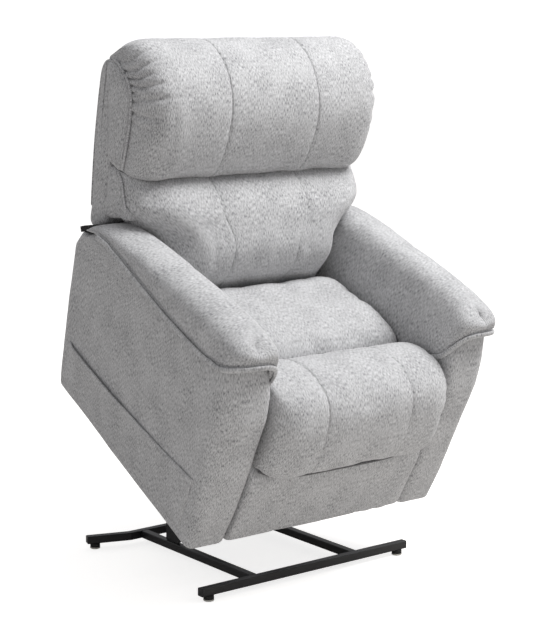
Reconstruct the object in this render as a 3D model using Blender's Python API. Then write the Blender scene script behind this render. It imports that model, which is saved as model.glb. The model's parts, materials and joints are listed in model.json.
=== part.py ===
"""Power lift recliner chair, shown raised: a steel floor base, a two-link lift on each side, an electric
lift actuator, a steel chassis with upholstered arms and seat, a reclining back and a folding footrest.

Metres, +Z up, the sitter faces -Y, the origin is on the floor under the middle of the object.
Left and right are the sitter's own, so the right arm is on -X.
Chair pieces are drawn in the chair's own frame, an empty at the foot of the arms' front edge:
v runs backward along the seat and w runs up from it. The whole chair is tipped forward by TILT.
"""
from math import cos, hypot, pi, radians, sin

import bpy
import bmesh
from mathutils import Matrix, Vector
from mathutils.geometry import convex_hull_2d

# ---------------------------------------------------------------- driving sizes
GAP = 0.0003                          # clearance between touching pieces
ROW_Y = -0.1631                       # puts the middle of the whole object over the origin

TUBE = 0.021                          # square floor tube, across
TUBE_Z = 0.015                        # underside of the floor tubes
BAR_HALF = 0.338                      # half length of the front floor bar
RAIL_X = 0.1665                       # the two floor rails
REAR_Y = 0.518                        # rear floor bar, behind the front one
REAR_STRAIGHT = 0.210                 # where the rear bar's ends turn backward
REAR_END = (0.325, 0.557)
FOOT_R = 0.0135
FRONT_FOOT_X = 0.3145
REAR_FOOT = (0.303, 0.5495)

TILT = radians(28.7)                  # raised chair, tipped forward
CHAIR_Y, CHAIR_Z = -0.0337, 0.1455    # front edge of the arms' underside, raised
ARM_IN, ARM_OUT = 0.286, 0.400        # inner and outer face of an arm at its foot
ARM_FLARE = 0.047                     # the outer face leans out by this much per metre of height
PAD_HALF = 0.2730                     # half width of the bolster between its two hangers
SEAT_HALF = 0.2790
LUMBAR_HALF = 0.2848
BACK_HALF = 0.380                     # half width of the back above the arms

LIFT_PIVOT = (0.2800, 0.1100)         # floor bracket: long link, y and z
CONTROL_PIVOT = (0.3800, 0.2140)      # floor bracket: upper link, y and z
LIFT_TUBE = (0.0900, 0.0548)          # chassis tube on the long link, v and w
CONTROL_TUBE = (0.1502, 0.0905)       # chassis tube in the upper link's slack eye
MOTOR_TUBE = (0.2400, 0.2200)         # chassis tube that the lift actuator pushes
MOTOR_PIVOT = (0.5050, 0.0620)        # floor clevis of the lift actuator, y and z
RECLINE_PIVOT = (0.6200, 0.3000)      # back hinge, v and w
RECLINE_LEVER = (0.5800, 0.1700)      # lower end of the back posts
FOOTREST_PIVOT = (0.0600, 0.3520)     # footrest hinge, v and w

# Three loops are closed by an eye with slack around a tube, because its centre strays a little on its way.
CONTROL_EYE_SLACK, CONTROL_EYE_SHIFT = 0.0036, (-0.0002, 0.0025)
LIFT_EYE_SLACK, LIFT_EYE_SHIFT = 0.0082, (0.0007, 0.0071)
RECLINE_EYE_SLACK, RECLINE_EYE_SHIFT = 0.0068, (-0.0039, -0.0042)

SHAFT_R = 0.006
FOOTREST_PIN_R = 0.005
BACK_RAIL_R = 0.010
CHASSIS_TUBE_R = 0.011
PLATE = 0.005                         # thickness of the steel plates and links


# ---------------------------------------------------------------- scene, materials, frames
for old in list(bpy.data.objects):
    bpy.data.objects.remove(old, do_unlink=True)


def material(name, colour, roughness, metallic=0.0):
    made = bpy.data.materials.new(name)
    made.use_nodes = True
    shader = made.node_tree.nodes["Principled BSDF"]
    shader.inputs["Base Color"].default_value = (*colour, 1.0)
    shader.inputs["Roughness"].default_value = roughness
    shader.inputs["Metallic"].default_value = metallic
    return made


BLACK_STEEL = material("black_powder_coat", (0.018, 0.018, 0.020), 0.45)
ZINC = material("zinc_plated_steel", (0.55, 0.56, 0.58), 0.35, 1.0)
FABRIC = material("grey_tweed", (0.45, 0.45, 0.45), 0.95)
LINING = material("black_lining", (0.03, 0.03, 0.03), 0.95)
RUBBER = material("black_rubber", (0.03, 0.03, 0.03), 0.80)
PLASTIC = material("black_plastic", (0.04, 0.04, 0.045), 0.50)
PLYWOOD = material("birch_plywood", (0.60, 0.45, 0.28), 0.70)


def empty(name, parent, y, z):
    """An axis or frame marker at (y, z) of its parent's frame."""
    made = bpy.data.objects.new(name, None)
    bpy.context.collection.objects.link(made)
    made.parent = parent
    made.location = (0.0, y, z)
    return made


FLOOR = empty("floor_frame", None, ROW_Y, 0.0)
CHAIR = empty("chair_frame", FLOOR, CHAIR_Y, CHAIR_Z)
CHAIR.rotation_euler.x = TILT
LIFT_AXIS = empty("lift_axis", FLOOR, *LIFT_PIVOT)
CONTROL_AXIS = empty("control_axis", FLOOR, *CONTROL_PIVOT)
MOTOR_AXIS = empty("lift_motor_axis", FLOOR, *MOTOR_PIVOT)
RECLINE_AXIS = empty("recline_axis", CHAIR, *RECLINE_PIVOT)
RECLINE_MOTOR_AXIS = empty("recline_motor_axis", CHAIR, *MOTOR_TUBE)
FOOTREST_AXIS = empty("footrest_axis", CHAIR, *FOOTREST_PIVOT)


def to_floor(point):
    """A chair point (v, w) as (y, z) of the floor frame, with the chair raised."""
    v, w = point
    return (CHAIR_Y + v * cos(TILT) - w * sin(TILT), CHAIR_Z + v * sin(TILT) + w * cos(TILT))


def finish_object(name, mesh_data, frame, finish, smooth_angle=30):
    """Link a mesh drawn in its frame's own parent coordinates, with its origin on the frame."""
    mesh = bpy.data.meshes.new(name)
    bmesh.ops.recalc_face_normals(mesh_data, faces=mesh_data.faces)
    if mesh_data.calc_volume(signed=True) < 0:
        bmesh.ops.reverse_faces(mesh_data, faces=mesh_data.faces)
    mesh_data.to_mesh(mesh)
    mesh_data.free()
    if frame not in (FLOOR, CHAIR):
        mesh.transform(Matrix.Translation(-Vector(frame.location)))
    mesh.shade_smooth()
    mesh.set_sharp_from_angle(angle=radians(smooth_angle))
    mesh.materials.append(finish)
    made = bpy.data.objects.new(name, mesh)
    bpy.context.collection.objects.link(made)
    made.parent = frame
    return made


# ---------------------------------------------------------------- shape tools
def rings_to_mesh(rings):
    """A closed body from rings of points, each the same length, capped at both ends."""
    mesh_data = bmesh.new()
    loops = [[mesh_data.verts.new(point) for point in ring] for ring in rings]
    count = len(loops[0])
    for near, far in zip(loops, loops[1:]):
        for i in range(count):
            j = (i + 1) % count
            mesh_data.faces.new((near[i], near[j], far[j], far[i]))
    mesh_data.faces.new(list(reversed(loops[0])))
    mesh_data.faces.new(loops[-1])
    return mesh_data


def prism_x(name, outline, x0, x1, frame, finish, chamfer=0.0):
    """An outline in (y, z) carried along X, with optional chamfered end edges."""
    if chamfer:
        small = inset(outline, chamfer)
        stations = [(x0, small), (x0 + chamfer, outline), (x1 - chamfer, outline), (x1, small)]
    else:
        stations = [(x0, outline), (x1, outline)]
    rings = [[(x, y, z) for y, z in shape] for x, shape in stations]
    return finish_object(name, rings_to_mesh(rings), frame, finish)


def prism_z(name, outline, z0, z1, frame, finish, chamfer=0.0015):
    """An outline in (x, y) carried along Z, with chamfered long edges."""
    small = inset(outline, chamfer)
    stations = [(z0, small), (z0 + chamfer, outline), (z1 - chamfer, outline), (z1, small)]
    rings = [[(x, y, z) for x, y in shape] for z, shape in stations]
    return finish_object(name, rings_to_mesh(rings), frame, finish)


def rod_x(name, centre, radius, x0, x1, frame, finish, sides=20):
    """A round bar along X, centred on (y, z)."""
    return prism_x(name, circle(centre, radius, sides), x0, x1, frame, finish, chamfer=radius * 0.12)


def circle(centre, radius, sides=20):
    return [(centre[0] + radius * cos(2 * pi * i / sides), centre[1] + radius * sin(2 * pi * i / sides))
            for i in range(sides)]


def box_outline(a0, a1, b0, b1):
    return [(a0, b0), (a1, b0), (a1, b1), (a0, b1)]


def hull(*circles):
    """The tight outline around several circles, each (centre, radius)."""
    points = [Vector(p) for centre, radius in circles for p in circle(centre, radius)]
    return [tuple(points[i]) for i in convex_hull_2d(points)]


def area(outline):
    return sum(a[0] * b[1] - b[0] * a[1] for a, b in zip(outline, outline[1:] + outline[:1])) / 2


def inset(outline, depth):
    """Move an outline inward by depth, or each point by its own depth, along the mitred normals."""
    sign = 1 if area(outline) > 0 else -1
    depths = depth if isinstance(depth, list) else [depth] * len(outline)
    moved = []
    for i, point in enumerate(outline):
        before, after = Vector(outline[i - 1]), Vector(outline[(i + 1) % len(outline)])
        here = Vector(point)
        first, second = (here - before).normalized(), (after - here).normalized()
        normal = Vector((-(first + second).y, (first + second).x)).normalized() * sign
        stretch = max(0.5, abs(normal.dot(Vector((-first.y, first.x)))))
        moved.append(tuple(here + normal * depths[i] / stretch))
    return moved


def strip(line, depth):
    """A strip of even thickness beside an open line, as one closed outline."""
    moved = []
    for i, point in enumerate(line):
        before, after = Vector(line[max(i - 1, 0)]), Vector(line[min(i + 1, len(line) - 1)])
        direction = (after - before).normalized()
        moved.append(tuple(Vector(point) + Vector((direction.y, -direction.x)) * depth))
    return line + moved[::-1]


def smooth_outline(points, steps=4):
    """A closed curve through a few points (a centripetal-like Catmull-Rom spline)."""
    count = len(points)
    curve = []
    for i in range(count):
        p0, p1, p2, p3 = (Vector(points[(i + k) % count]) for k in (-1, 0, 1, 2))
        reach = (p2 - p1).length
        t1 = (p2 - p0).normalized() * reach
        t2 = (p3 - p1).normalized() * reach
        for s in range(steps):
            t = s / steps
            h1, h2 = 2 * t**3 - 3 * t**2 + 1, t**3 - 2 * t**2 + t
            h3, h4 = -2 * t**3 + 3 * t**2, t**3 - t**2
            curve.append(tuple(p1 * h1 + t1 * h2 + p2 * h3 + t2 * h4))
    return curve


def soft_block(name, outline, x_in, x_out, round_in, round_out, frame, finish, lean=0.0, steps=3):
    """A padded block: an outline in (y, z) from x_in to x_out, its end edges rounded by a quarter circle.
    round_out may be a function of (y, z), and lean carries the outer end further out with height."""
    side = 1 if x_out > x_in else -1
    rounding = round_out if callable(round_out) else (lambda y, z: round_out)
    radii = [rounding(y, z) for y, z in outline]
    rings = []
    for i in range(steps + 1):
        turn = pi / 2 * i / steps
        shape = inset(outline, round_in * (1 - sin(turn)))
        rings.append([(x_in + side * round_in * (1 - cos(turn)), y, z) for y, z in shape])
    for i in range(steps + 1):
        turn = pi / 2 * i / steps
        shape = inset(outline, [r * (1 - cos(turn)) for r in radii])
        rings.append([(x_out + side * (lean * max(z, 0.0) - r * (1 - sin(turn))), y, z)
                      for (y, z), r in zip(shape, radii)])
    return finish_object(name, rings_to_mesh(rings), frame, finish, smooth_angle=50)


def hide_tool(tool):
    tool.hide_render = True
    tool.display_type = "WIRE"


def cut_with(target, cutter):
    """Take a hidden cutter's shape out of a piece."""
    hide_tool(cutter)
    cut = target.modifiers.new("cut", "BOOLEAN")
    cut.operation = "DIFFERENCE"
    cut.object = cutter


def join_with(target, other):
    """Weld a hidden body's shape onto a piece."""
    hide_tool(other)
    weld = target.modifiers.new("weld", "BOOLEAN")
    weld.operation = "UNION"
    weld.object = other


def drill_x(target, centre, radius, x0, x1):
    """Bore a round hole along X through a piece, centred on (y, z) of its frame's parent."""
    cut_with(target, rod_x(f"{target.name}_drill", centre, radius, x0, x1, target.parent, ZINC, sides=24))


SIDES = (("right", -1), ("left", 1))


def span(side, near, far):
    """Two X stations on one side of the chair, lowest first."""
    return sorted((side * near, side * far))


# ---------------------------------------------------------------- floor base
def build_floor_base():
    half = TUBE / 2
    top = TUBE_Z + TUBE
    prism_z("front_floor_bar", box_outline(-BAR_HALF, BAR_HALF, -half, half), TUBE_Z, top, FLOOR, BLACK_STEEL)
    for name, side in SIDES:
        x0, x1 = span(side, RAIL_X - half, RAIL_X + half)
        prism_z(f"{name}_floor_rail", box_outline(x0, x1, half + GAP, REAR_Y - half - GAP), TUBE_Z, top,
                FLOOR, BLACK_STEEL)
    bend = hypot(REAR_END[0] - REAR_STRAIGHT, REAR_END[1] - REAR_Y)
    across = Vector((-(REAR_END[1] - REAR_Y), REAR_END[0] - REAR_STRAIGHT)) / bend * half
    slack = half * (REAR_END[1] - REAR_Y) / (REAR_END[0] - REAR_STRAIGHT) / 2
    front = [(REAR_STRAIGHT + slack, REAR_Y - half), (REAR_END[0] - across.x, REAR_END[1] - across.y)]
    back = [(REAR_END[0] + across.x, REAR_END[1] + across.y), (REAR_STRAIGHT - slack, REAR_Y + half)]
    outline = front + back + [(-x, y) for x, y in reversed(back)] + [(-x, y) for x, y in reversed(front)]
    prism_z("rear_floor_bar", outline, TUBE_Z, top, FLOOR, BLACK_STEEL)
    for name, side in SIDES:
        for place, x, y in (("front", FRONT_FOOT_X, 0.0), ("rear", *REAR_FOOT)):
            prism_z(f"{name}_{place}_foot", circle((side * x, y), FOOT_R, 24), 0.0, TUBE_Z - GAP, FLOOR, RUBBER)


def build_lift_brackets():
    """Each bracket stands on its floor rail and carries the fixed pivots of the two links."""
    top = TUBE_Z + TUBE + GAP
    x0, x1 = RAIL_X - 0.003, RAIL_X + 0.003
    foot_corner = 0.004
    for name, side in SIDES:
        outline = hull((LIFT_PIVOT, 0.016), (CONTROL_PIVOT, 0.016),
                       ((0.345, top + foot_corner), foot_corner), ((0.395, top + foot_corner), foot_corner))
        bracket = prism_x(f"{name}_lift_bracket", outline, *span(side, x0, x1), FLOOR, BLACK_STEEL)
        for centre in (LIFT_PIVOT, CONTROL_PIVOT):
            drill_x(bracket, centre, SHAFT_R + GAP, *span(side, x0 - 0.01, x1 + 0.01))
        rod_x(f"{name}_control_pin", CONTROL_PIVOT, SHAFT_R, *span(side, RAIL_X - 0.008, RAIL_X + 0.024),
              FLOOR, ZINC)
    rod_x("lift_pivot_shaft", LIFT_PIVOT, SHAFT_R, -RAIL_X - 0.008, RAIL_X + 0.008, FLOOR, ZINC)


def build_motor_clevis():
    """A folded steel clevis on the rear bar, with the pin of the lift actuator."""
    y, z = MOTOR_PIVOT
    base = TUBE_Z + TUBE + GAP
    wide, wall = 0.036, 0.005
    profile = [(-wide, base), (wide, base), (wide, z + 0.014), (wide - wall, z + 0.014),
               (wide - wall, base + wall), (-wide + wall, base + wall), (-wide + wall, z + 0.014),
               (-wide, z + 0.014)]
    rings = [[(x, station, height) for x, height in profile] for station in (y - 0.014, y + 0.022)]
    clevis = finish_object("motor_clevis", rings_to_mesh(rings), FLOOR, BLACK_STEEL)
    drill_x(clevis, MOTOR_PIVOT, 0.005 + GAP, -0.05, 0.05)
    rod_x("motor_clevis_pin", MOTOR_PIVOT, 0.005, -0.041, 0.041, FLOOR, ZINC)


# ---------------------------------------------------------------- lift linkage and its actuator
def build_lift_links():
    link_in = RAIL_X - 0.003 - 0.0015 - PLATE
    for name, side in SIDES:
        foot = to_floor(LIFT_TUBE)
        link = prism_x(f"{name}_lift_link", hull((LIFT_PIVOT, 0.016), (foot, 0.019)),
                       *span(side, link_in, link_in + PLATE), LIFT_AXIS, BLACK_STEEL)
        drill_x(link, LIFT_PIVOT, SHAFT_R + GAP, *span(side, link_in - 0.01, link_in + 0.02))
        drill_x(link, foot, CHASSIS_TUBE_R + GAP, *span(side, link_in - 0.01, link_in + 0.02))
    middle = [(a + b) / 2 for a, b in zip(LIFT_PIVOT, to_floor(LIFT_TUBE))]
    rod_x("lift_torque_tube", middle, CHASSIS_TUBE_R, -link_in + GAP, link_in - GAP, LIFT_AXIS, BLACK_STEEL)


def build_control_links():
    """The upper links guide the tilt. Their chassis eyes are slack, to let the path differ a little."""
    slack_eye = CHASSIS_TUBE_R + CONTROL_EYE_SLACK
    link_in = RAIL_X + 0.003 + 0.0015
    eye = tuple(a + b for a, b in zip(to_floor(CONTROL_TUBE), CONTROL_EYE_SHIFT))
    for name, side in SIDES:
        link = prism_x(f"{name}_control_link", hull((CONTROL_PIVOT, 0.015), (eye, slack_eye + 0.006)),
                       *span(side, link_in, link_in + PLATE), CONTROL_AXIS, BLACK_STEEL)
        drill_x(link, CONTROL_PIVOT, SHAFT_R + GAP, *span(side, link_in - 0.01, link_in + 0.02))
        drill_x(link, eye, slack_eye, *span(side, link_in - 0.01, link_in + 0.02))


def build_actuator(name, start, end, frame, x, hole_r, eye_hole, eye_shift, barrel, bore_from, rod_from,
                   motor_side):
    """A linear actuator from its fixed eye at start to the slack eye at end, both (y, z), in the plane x.
    The barrel carries a gearbox and a motor, and is bored for the rod."""
    barrel_r, rod_r, motor_r, offset = 0.0190, 0.0115, 0.0210, 0.045
    line = Vector(end) - Vector(start)
    along = line.normalized()
    normal = Vector((-along.y, along.x))

    def at(distance, aside=0.0):
        return tuple(Vector(start) + along * distance + normal * aside * motor_side)

    def turned(piece, near, far, radius, finish, aside=0.0, sides=20):
        """A round body along the actuator's own line, with softened ends."""
        rings = []
        for distance, size in ((near, 0.9), (near + 0.002, 1.0), (far - 0.002, 1.0), (far, 0.9)):
            y, z = at(distance, aside)
            for_ring = []
            for i in range(sides):
                turn = 2 * pi * i / sides
                up = normal * radius * size * sin(turn)
                for_ring.append((x + radius * size * cos(turn), y + up.x, z + up.y))
            rings.append(for_ring)
        return finish_object(piece, rings_to_mesh(rings), frame, finish)

    housing = turned(f"{name}_housing", 0.040, barrel, barrel_r, PLASTIC)
    ear = prism_x(f"{name}_ear", hull((at(0), hole_r + 0.007), (at(0.060), 0.012)), x - 0.012, x + 0.012,
                  frame, PLASTIC)
    gearbox = prism_x(f"{name}_gearbox", hull((at(0.066), 0.022), (at(0.096), 0.022), (at(0.080, offset), 0.025)),
                      x - barrel_r - 0.004, x + barrel_r + 0.004, frame, PLASTIC)
    motor = turned(f"{name}_motor", 0.062, 0.075 + barrel * 0.4, motor_r, PLASTIC, aside=offset)
    for body in (ear, gearbox, motor):
        join_with(housing, body)
    drill_x(housing, start, hole_r + GAP, x - 0.06, x + 0.06)
    bore = turned(f"{name}_bore", bore_from, barrel + 0.02, rod_r + 0.001, ZINC)
    cut_with(housing, bore)

    eye = tuple(a + b for a, b in zip(end, eye_shift))
    rod = turned(f"{name}_rod", rod_from, line.length - eye_hole + 0.001, rod_r, ZINC)
    join_with(rod, prism_x(f"{name}_eye", circle(eye, eye_hole + 0.006, 28), x - 0.012, x + 0.012, frame, ZINC))
    drill_x(rod, eye, eye_hole, x - 0.05, x + 0.05)


def build_lift_actuator():
    build_actuator("lift_actuator", MOTOR_PIVOT, to_floor(MOTOR_TUBE), MOTOR_AXIS, 0.0, 0.005,
                   CHASSIS_TUBE_R + LIFT_EYE_SLACK, LIFT_EYE_SHIFT, barrel=0.350, bore_from=0.055, rod_from=0.228, motor_side=1)


def build_recline_actuator():
    build_actuator("recline_actuator", MOTOR_TUBE, RECLINE_LEVER, RECLINE_MOTOR_AXIS, 0.100, CHASSIS_TUBE_R,
                   BACK_RAIL_R + RECLINE_EYE_SLACK, RECLINE_EYE_SHIFT, barrel=0.235, bore_from=0.062, rod_from=0.150, motor_side=-1)


# ---------------------------------------------------------------- chassis
def build_chassis():
    inner = ARM_IN - GAP - 0.006
    for name, side in SIDES:
        outline = hull((LIFT_TUBE, 0.018), (CONTROL_TUBE, 0.018), (FOOTREST_PIVOT, 0.012),
                       (RECLINE_PIVOT, 0.018), ((0.600, 0.085), 0.018))
        plate = prism_x(f"{name}_chassis_plate", outline, *span(side, inner, inner + 0.006), CHAIR, BLACK_STEEL)
        drill_x(plate, FOOTREST_PIVOT, FOOTREST_PIN_R + GAP, *span(side, inner - 0.004, inner + 0.010))
        rod_x(f"{name}_footrest_pin", FOOTREST_PIVOT, FOOTREST_PIN_R, *span(side, PAD_HALF + 0.0010, inner + 0.0058),
              CHAIR, ZINC)
    reach = inner - GAP
    rod_x("front_chassis_tube", LIFT_TUBE, CHASSIS_TUBE_R, -reach, reach, CHAIR, BLACK_STEEL)
    rod_x("middle_chassis_tube", CONTROL_TUBE, CHASSIS_TUBE_R, -reach, reach, CHAIR, BLACK_STEEL)
    rod_x("upper_chassis_tube", MOTOR_TUBE, CHASSIS_TUBE_R, -reach, reach, CHAIR, BLACK_STEEL)
    rod_x("recline_shaft", RECLINE_PIVOT, SHAFT_R, -reach, reach, CHAIR, ZINC)
    for name, v0, v1, w0 in (("front", 0.2260, 0.2480, 0.2620), ("rear", 0.5150, 0.5400, 0.2760)):
        prism_x(f"{name}_seat_rail", box_outline(v0, v1, w0, 0.2950), -reach, reach, CHAIR, PLYWOOD, 0.002)
    prism_z("control_box", box_outline(-0.262, -0.205, 0.470, 0.590), 0.060, 0.100, CHAIR, PLASTIC, 0.004)
    build_springs()


def build_springs():
    """Zigzag wire springs under the cushion, from the front seat rail to the rear one."""
    wire_r, swing, turns, points_per_turn = 0.0020, 0.022, 6, 4
    v0, v1, w = 0.2500, 0.5130, 0.2965
    for number, x in enumerate((-0.15, 0.0, 0.15), start=1):
        count = turns * points_per_turn
        curve = bpy.data.curves.new(f"seat_spring_{number}", "CURVE")
        curve.dimensions = "3D"
        curve.bevel_depth = wire_r
        curve.bevel_resolution = 1
        curve.use_fill_caps = True
        line = curve.splines.new("POLY")
        line.points.add(count)
        for i, point in enumerate(line.points):
            v = v0 + (v1 - v0) * i / count
            point.co = (x + swing * sin(2 * pi * i / points_per_turn), v, w, 1.0)
        curve.materials.append(ZINC)
        made = bpy.data.objects.new(curve.name, curve)
        bpy.context.collection.objects.link(made)
        made.parent = CHAIR


# ---------------------------------------------------------------- upholstered body
ARM_SIDE = [(0.000, 0.012), (0.010, 0.000), (0.350, 0.000), (0.672, 0.000), (0.687, 0.022), (0.711, 0.133),
            (0.740, 0.280), (0.760, 0.405), (0.737, 0.447), (0.663, 0.508), (0.533, 0.497), (0.324, 0.490),
            (0.165, 0.498), (0.098, 0.505), (0.062, 0.470), (0.036, 0.400), (0.018, 0.300), (0.010, 0.150)]
PAD_SIDE = [(0.6650, 0.5120), (0.6500, 0.5290), (0.5770, 0.5400), (0.4400, 0.5660), (0.2680, 0.5850),
            (0.1500, 0.5960), (0.0930, 0.5850), (0.0600, 0.5550), (0.0660, 0.5200), (0.0980, 0.5090),
            (0.1650, 0.5020), (0.3240, 0.4940), (0.5330, 0.5010)]
POCKET_FRONT, POCKET_REAR, POCKET_FOOT = 0.065, 0.675, 0.030
POCKET_LINE = [(POCKET_REAR, 0.151), (0.408, 0.162), (0.153, 0.183), (POCKET_FRONT, 0.195)]
POCKET_DEPTH, POCKET_SKIN, POCKET_MOUTH = 0.014, 0.005, 0.012


def front_rounding(y, z):
    """The arm's front corner is softly rounded, its other edges are tighter."""
    return 0.040 if y < 0.12 and z < 0.49 else 0.010


def build_arms():
    for name, side in SIDES:
        arm = soft_block(f"{name}_arm", ARM_SIDE, side * ARM_IN, side * ARM_OUT, 0.008, front_rounding,
                         CHAIR, FABRIC, lean=ARM_FLARE, steps=3)
        soft_block(f"{name}_arm_pad", smooth_outline(PAD_SIDE, 2), side * ARM_IN, side * (ARM_OUT - 0.004),
                   0.016, 0.020, CHAIR, FABRIC, lean=ARM_FLARE)
        if side < 0:
            build_pocket(arm)


def build_pocket(arm):
    """A side pocket on the right arm: a shallow recess in the arm behind a sewn fabric panel."""
    foot = [(POCKET_FRONT, POCKET_FOOT), (POCKET_REAR, POCKET_FOOT)]
    mouth = [(v, w + POCKET_MOUTH) for v, w in POCKET_LINE]
    cut_with(arm, lean_plate("pocket_recess", foot + mouth, POCKET_DEPTH + POCKET_SKIN, 0.05, LINING))
    lean_plate("right_pocket_panel", inset(foot + POCKET_LINE, 0.0006), POCKET_SKIN, 0.0, FABRIC)


def lean_plate(name, outline, depth, proud, finish):
    """A plate that follows the leaning outer face of the right arm, from depth inside it to proud of it."""
    def face(offset):
        return [(-(ARM_OUT + ARM_FLARE * w + offset), v, w) for v, w in outline]
    return finish_object(name, rings_to_mesh([face(-depth), face(proud)]), CHAIR, finish)


SEAT_SIDE = [(0.2100, 0.3060), (0.2050, 0.3600), (0.2250, 0.4080), (0.3100, 0.4170), (0.4200, 0.4080),
             (0.5050, 0.3900), (0.5250, 0.3600), (0.5200, 0.3060), (0.3700, 0.3060)]


def build_seat():
    soft_block("seat_cushion", smooth_outline(SEAT_SIDE, 3), -SEAT_HALF, SEAT_HALF, 0.020, 0.020, CHAIR, FABRIC)
    skirt = [(0.6900, 0.0100), (0.6980, 0.0100), (0.7060, 0.2100), (0.6980, 0.2100)]
    prism_x("rear_skirt", skirt, -ARM_IN + GAP, ARM_IN - GAP, CHAIR, LINING)


# ---------------------------------------------------------------- reclining back
HEADREST_SIDE = [(0.6950, 0.6500), (0.6500, 0.6900), (0.6400, 0.7700), (0.6520, 0.8500), (0.6850, 0.9050),
                 (0.7350, 0.9400), (0.7950, 0.9540), (0.8500, 0.9420), (0.8800, 0.9050), (0.8360, 0.8200),
                 (0.7800, 0.7000), (0.7450, 0.6560)]
LUMBAR_SIDE = [(0.5700, 0.3320), (0.5400, 0.3900), (0.5060, 0.4800), (0.5300, 0.5550), (0.5800, 0.6150),
               (0.6400, 0.6380), (0.7200, 0.6380), (0.7350, 0.6250), (0.6780, 0.4900), (0.6220, 0.3600),
               (0.5900, 0.3250)]
LUMBAR_WING = [(0.6400, 0.5600), (0.6000, 0.5850), (0.6170, 0.6150), (0.6500, 0.6340), (0.7150, 0.6350),
               (0.7260, 0.6260), (0.7070, 0.5750), (0.6800, 0.5550)]
BACK_REAR = [(0.9110, 0.8060), (0.8660, 0.6600), (0.8080, 0.5090), (0.7780, 0.4420)]
WING_FRONT = [(0.7210, 0.4940), (0.7600, 0.6310), (0.7900, 0.6800), (0.8560, 0.8140), (0.8830, 0.8290),
              (0.9040, 0.8310)]
HEAD_RAIL = (0.8620, 0.8000)
PANEL = 0.012                         # thickness of the rear panel
TAIL_R = 0.105                        # its tail curls around the back hinge


def build_back():
    """Two steel posts on the hinge shaft carry a rear panel, two side wings and the cushions."""
    for name, side in SIDES:
        x0, x1 = span(side, 0.2560, 0.2610)
        post = prism_x(f"{name}_back_post", hull((RECLINE_LEVER, 0.014), (RECLINE_PIVOT, 0.016), (HEAD_RAIL, 0.012)),
                       x0, x1, RECLINE_AXIS, BLACK_STEEL)
        drill_x(post, RECLINE_PIVOT, SHAFT_R + GAP, x0 - 0.01, x1 + 0.01)
        soft_block(f"{name}_back_wing", list(reversed(BACK_REAR)) + list(reversed(WING_FRONT)),
                   side * (ARM_IN - 0.001), side * BACK_HALF, 0.002, 0.014, RECLINE_AXIS, FABRIC)
    reach = 0.2560 - GAP
    rod_x("back_lower_rail", RECLINE_LEVER, BACK_RAIL_R, -reach, reach, RECLINE_AXIS, BLACK_STEEL)
    rod_x("back_upper_rail", HEAD_RAIL, BACK_RAIL_R, -reach, reach, RECLINE_AXIS, BLACK_STEEL)

    def tail(radius):
        turns = [radians(-8.2 * i) for i in range(6)]
        return [(RECLINE_PIVOT[0] + radius * cos(t), RECLINE_PIVOT[1] + radius * sin(t)) for t in turns]

    prism_x("back_panel", strip(BACK_REAR + tail(TAIL_R), PANEL), -ARM_IN + 0.0014, ARM_IN - 0.0014,
            RECLINE_AXIS, FABRIC)
    soft_block("headrest_cushion", smooth_outline(HEADREST_SIDE, 3), -BACK_HALF + 0.002, BACK_HALF - 0.002,
               0.030, 0.030, RECLINE_AXIS, FABRIC)
    lumbar = soft_block("lumbar_cushion", smooth_outline(LUMBAR_SIDE, 2), -LUMBAR_HALF, LUMBAR_HALF, 0.010, 0.010,
                        RECLINE_AXIS, FABRIC)
    join_with(lumbar, soft_block("lumbar_shoulders", smooth_outline(LUMBAR_WING, 2), -BACK_HALF + 0.002,
                                 BACK_HALF - 0.002, 0.012, 0.012, RECLINE_AXIS, FABRIC))


# ---------------------------------------------------------------- footrest
BOLSTER_SIDE = [(-0.0200, 0.2230), (-0.0380, 0.2600), (-0.0430, 0.3200), (-0.0330, 0.3850), (-0.0050, 0.4350),
                (0.0550, 0.4580), (0.1250, 0.4480), (0.1700, 0.4250), (0.1920, 0.3800), (0.1800, 0.3450),
                (0.1000, 0.3400), (0.0510, 0.3300), (0.0510, 0.2230)]
PANEL_SIDE = [(0.0060, 0.0140), (0.0000, 0.0300), (-0.0030, 0.1100), (0.0000, 0.2000), (0.0080, 0.2200),
              (0.0515, 0.2200), (0.0515, 0.0140)]


def build_footrest():
    """A board on two hangers swings out from under the seat, with the front panel and the bolster on it."""
    board_v = (0.0520, 0.0670)
    prism_x("footrest_board", box_outline(*board_v, 0.030, 0.326), -PAD_HALF, PAD_HALF, FOOTREST_AXIS, PLYWOOD,
            0.002)
    middle = sum(board_v) / 2
    for name, side in SIDES:
        x0, x1 = span(side, PAD_HALF + 0.0008, PAD_HALF + 0.0058)
        hanger = prism_x(f"{name}_footrest_hanger", hull((FOOTREST_PIVOT, 0.012), ((middle, 0.050), 0.0075)),
                         x0, x1, FOOTREST_AXIS, BLACK_STEEL)
        drill_x(hanger, FOOTREST_PIVOT, FOOTREST_PIN_R + GAP, x0 - 0.01, x1 + 0.01)
    soft_block("footrest_bolster", BOLSTER_SIDE, -PAD_HALF, PAD_HALF, 0.018, 0.018, FOOTREST_AXIS, FABRIC)
    soft_block("footrest_panel", PANEL_SIDE, -PAD_HALF - 0.005, PAD_HALF + 0.005, 0.010, 0.010, FOOTREST_AXIS,
               FABRIC)


# ---------------------------------------------------------------- all
build_floor_base()
build_lift_brackets()
build_motor_clevis()
build_lift_links()
build_control_links()
build_lift_actuator()
build_chassis()
build_arms()
build_seat()
build_back()
build_recline_actuator()
build_footrest()
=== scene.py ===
# %% [markdown]
# # A power lift recliner, raised
# The steel floor base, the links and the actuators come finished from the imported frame, and only get their
# finishes here. Everything upholstered is made in this file: a tweed cover sewn over foam, fibre and a wooden
# frame. All soft pieces are built in the chair's own directions (x across, v backward, w up) and then turned
# into place, because the whole chair stands tipped forward on its lift.

# %% Load the frame
import json
from math import atan2, cos, pi, radians, sin

import bpy
import numpy as np
from mathutils import Matrix, Vector, noise


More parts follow.
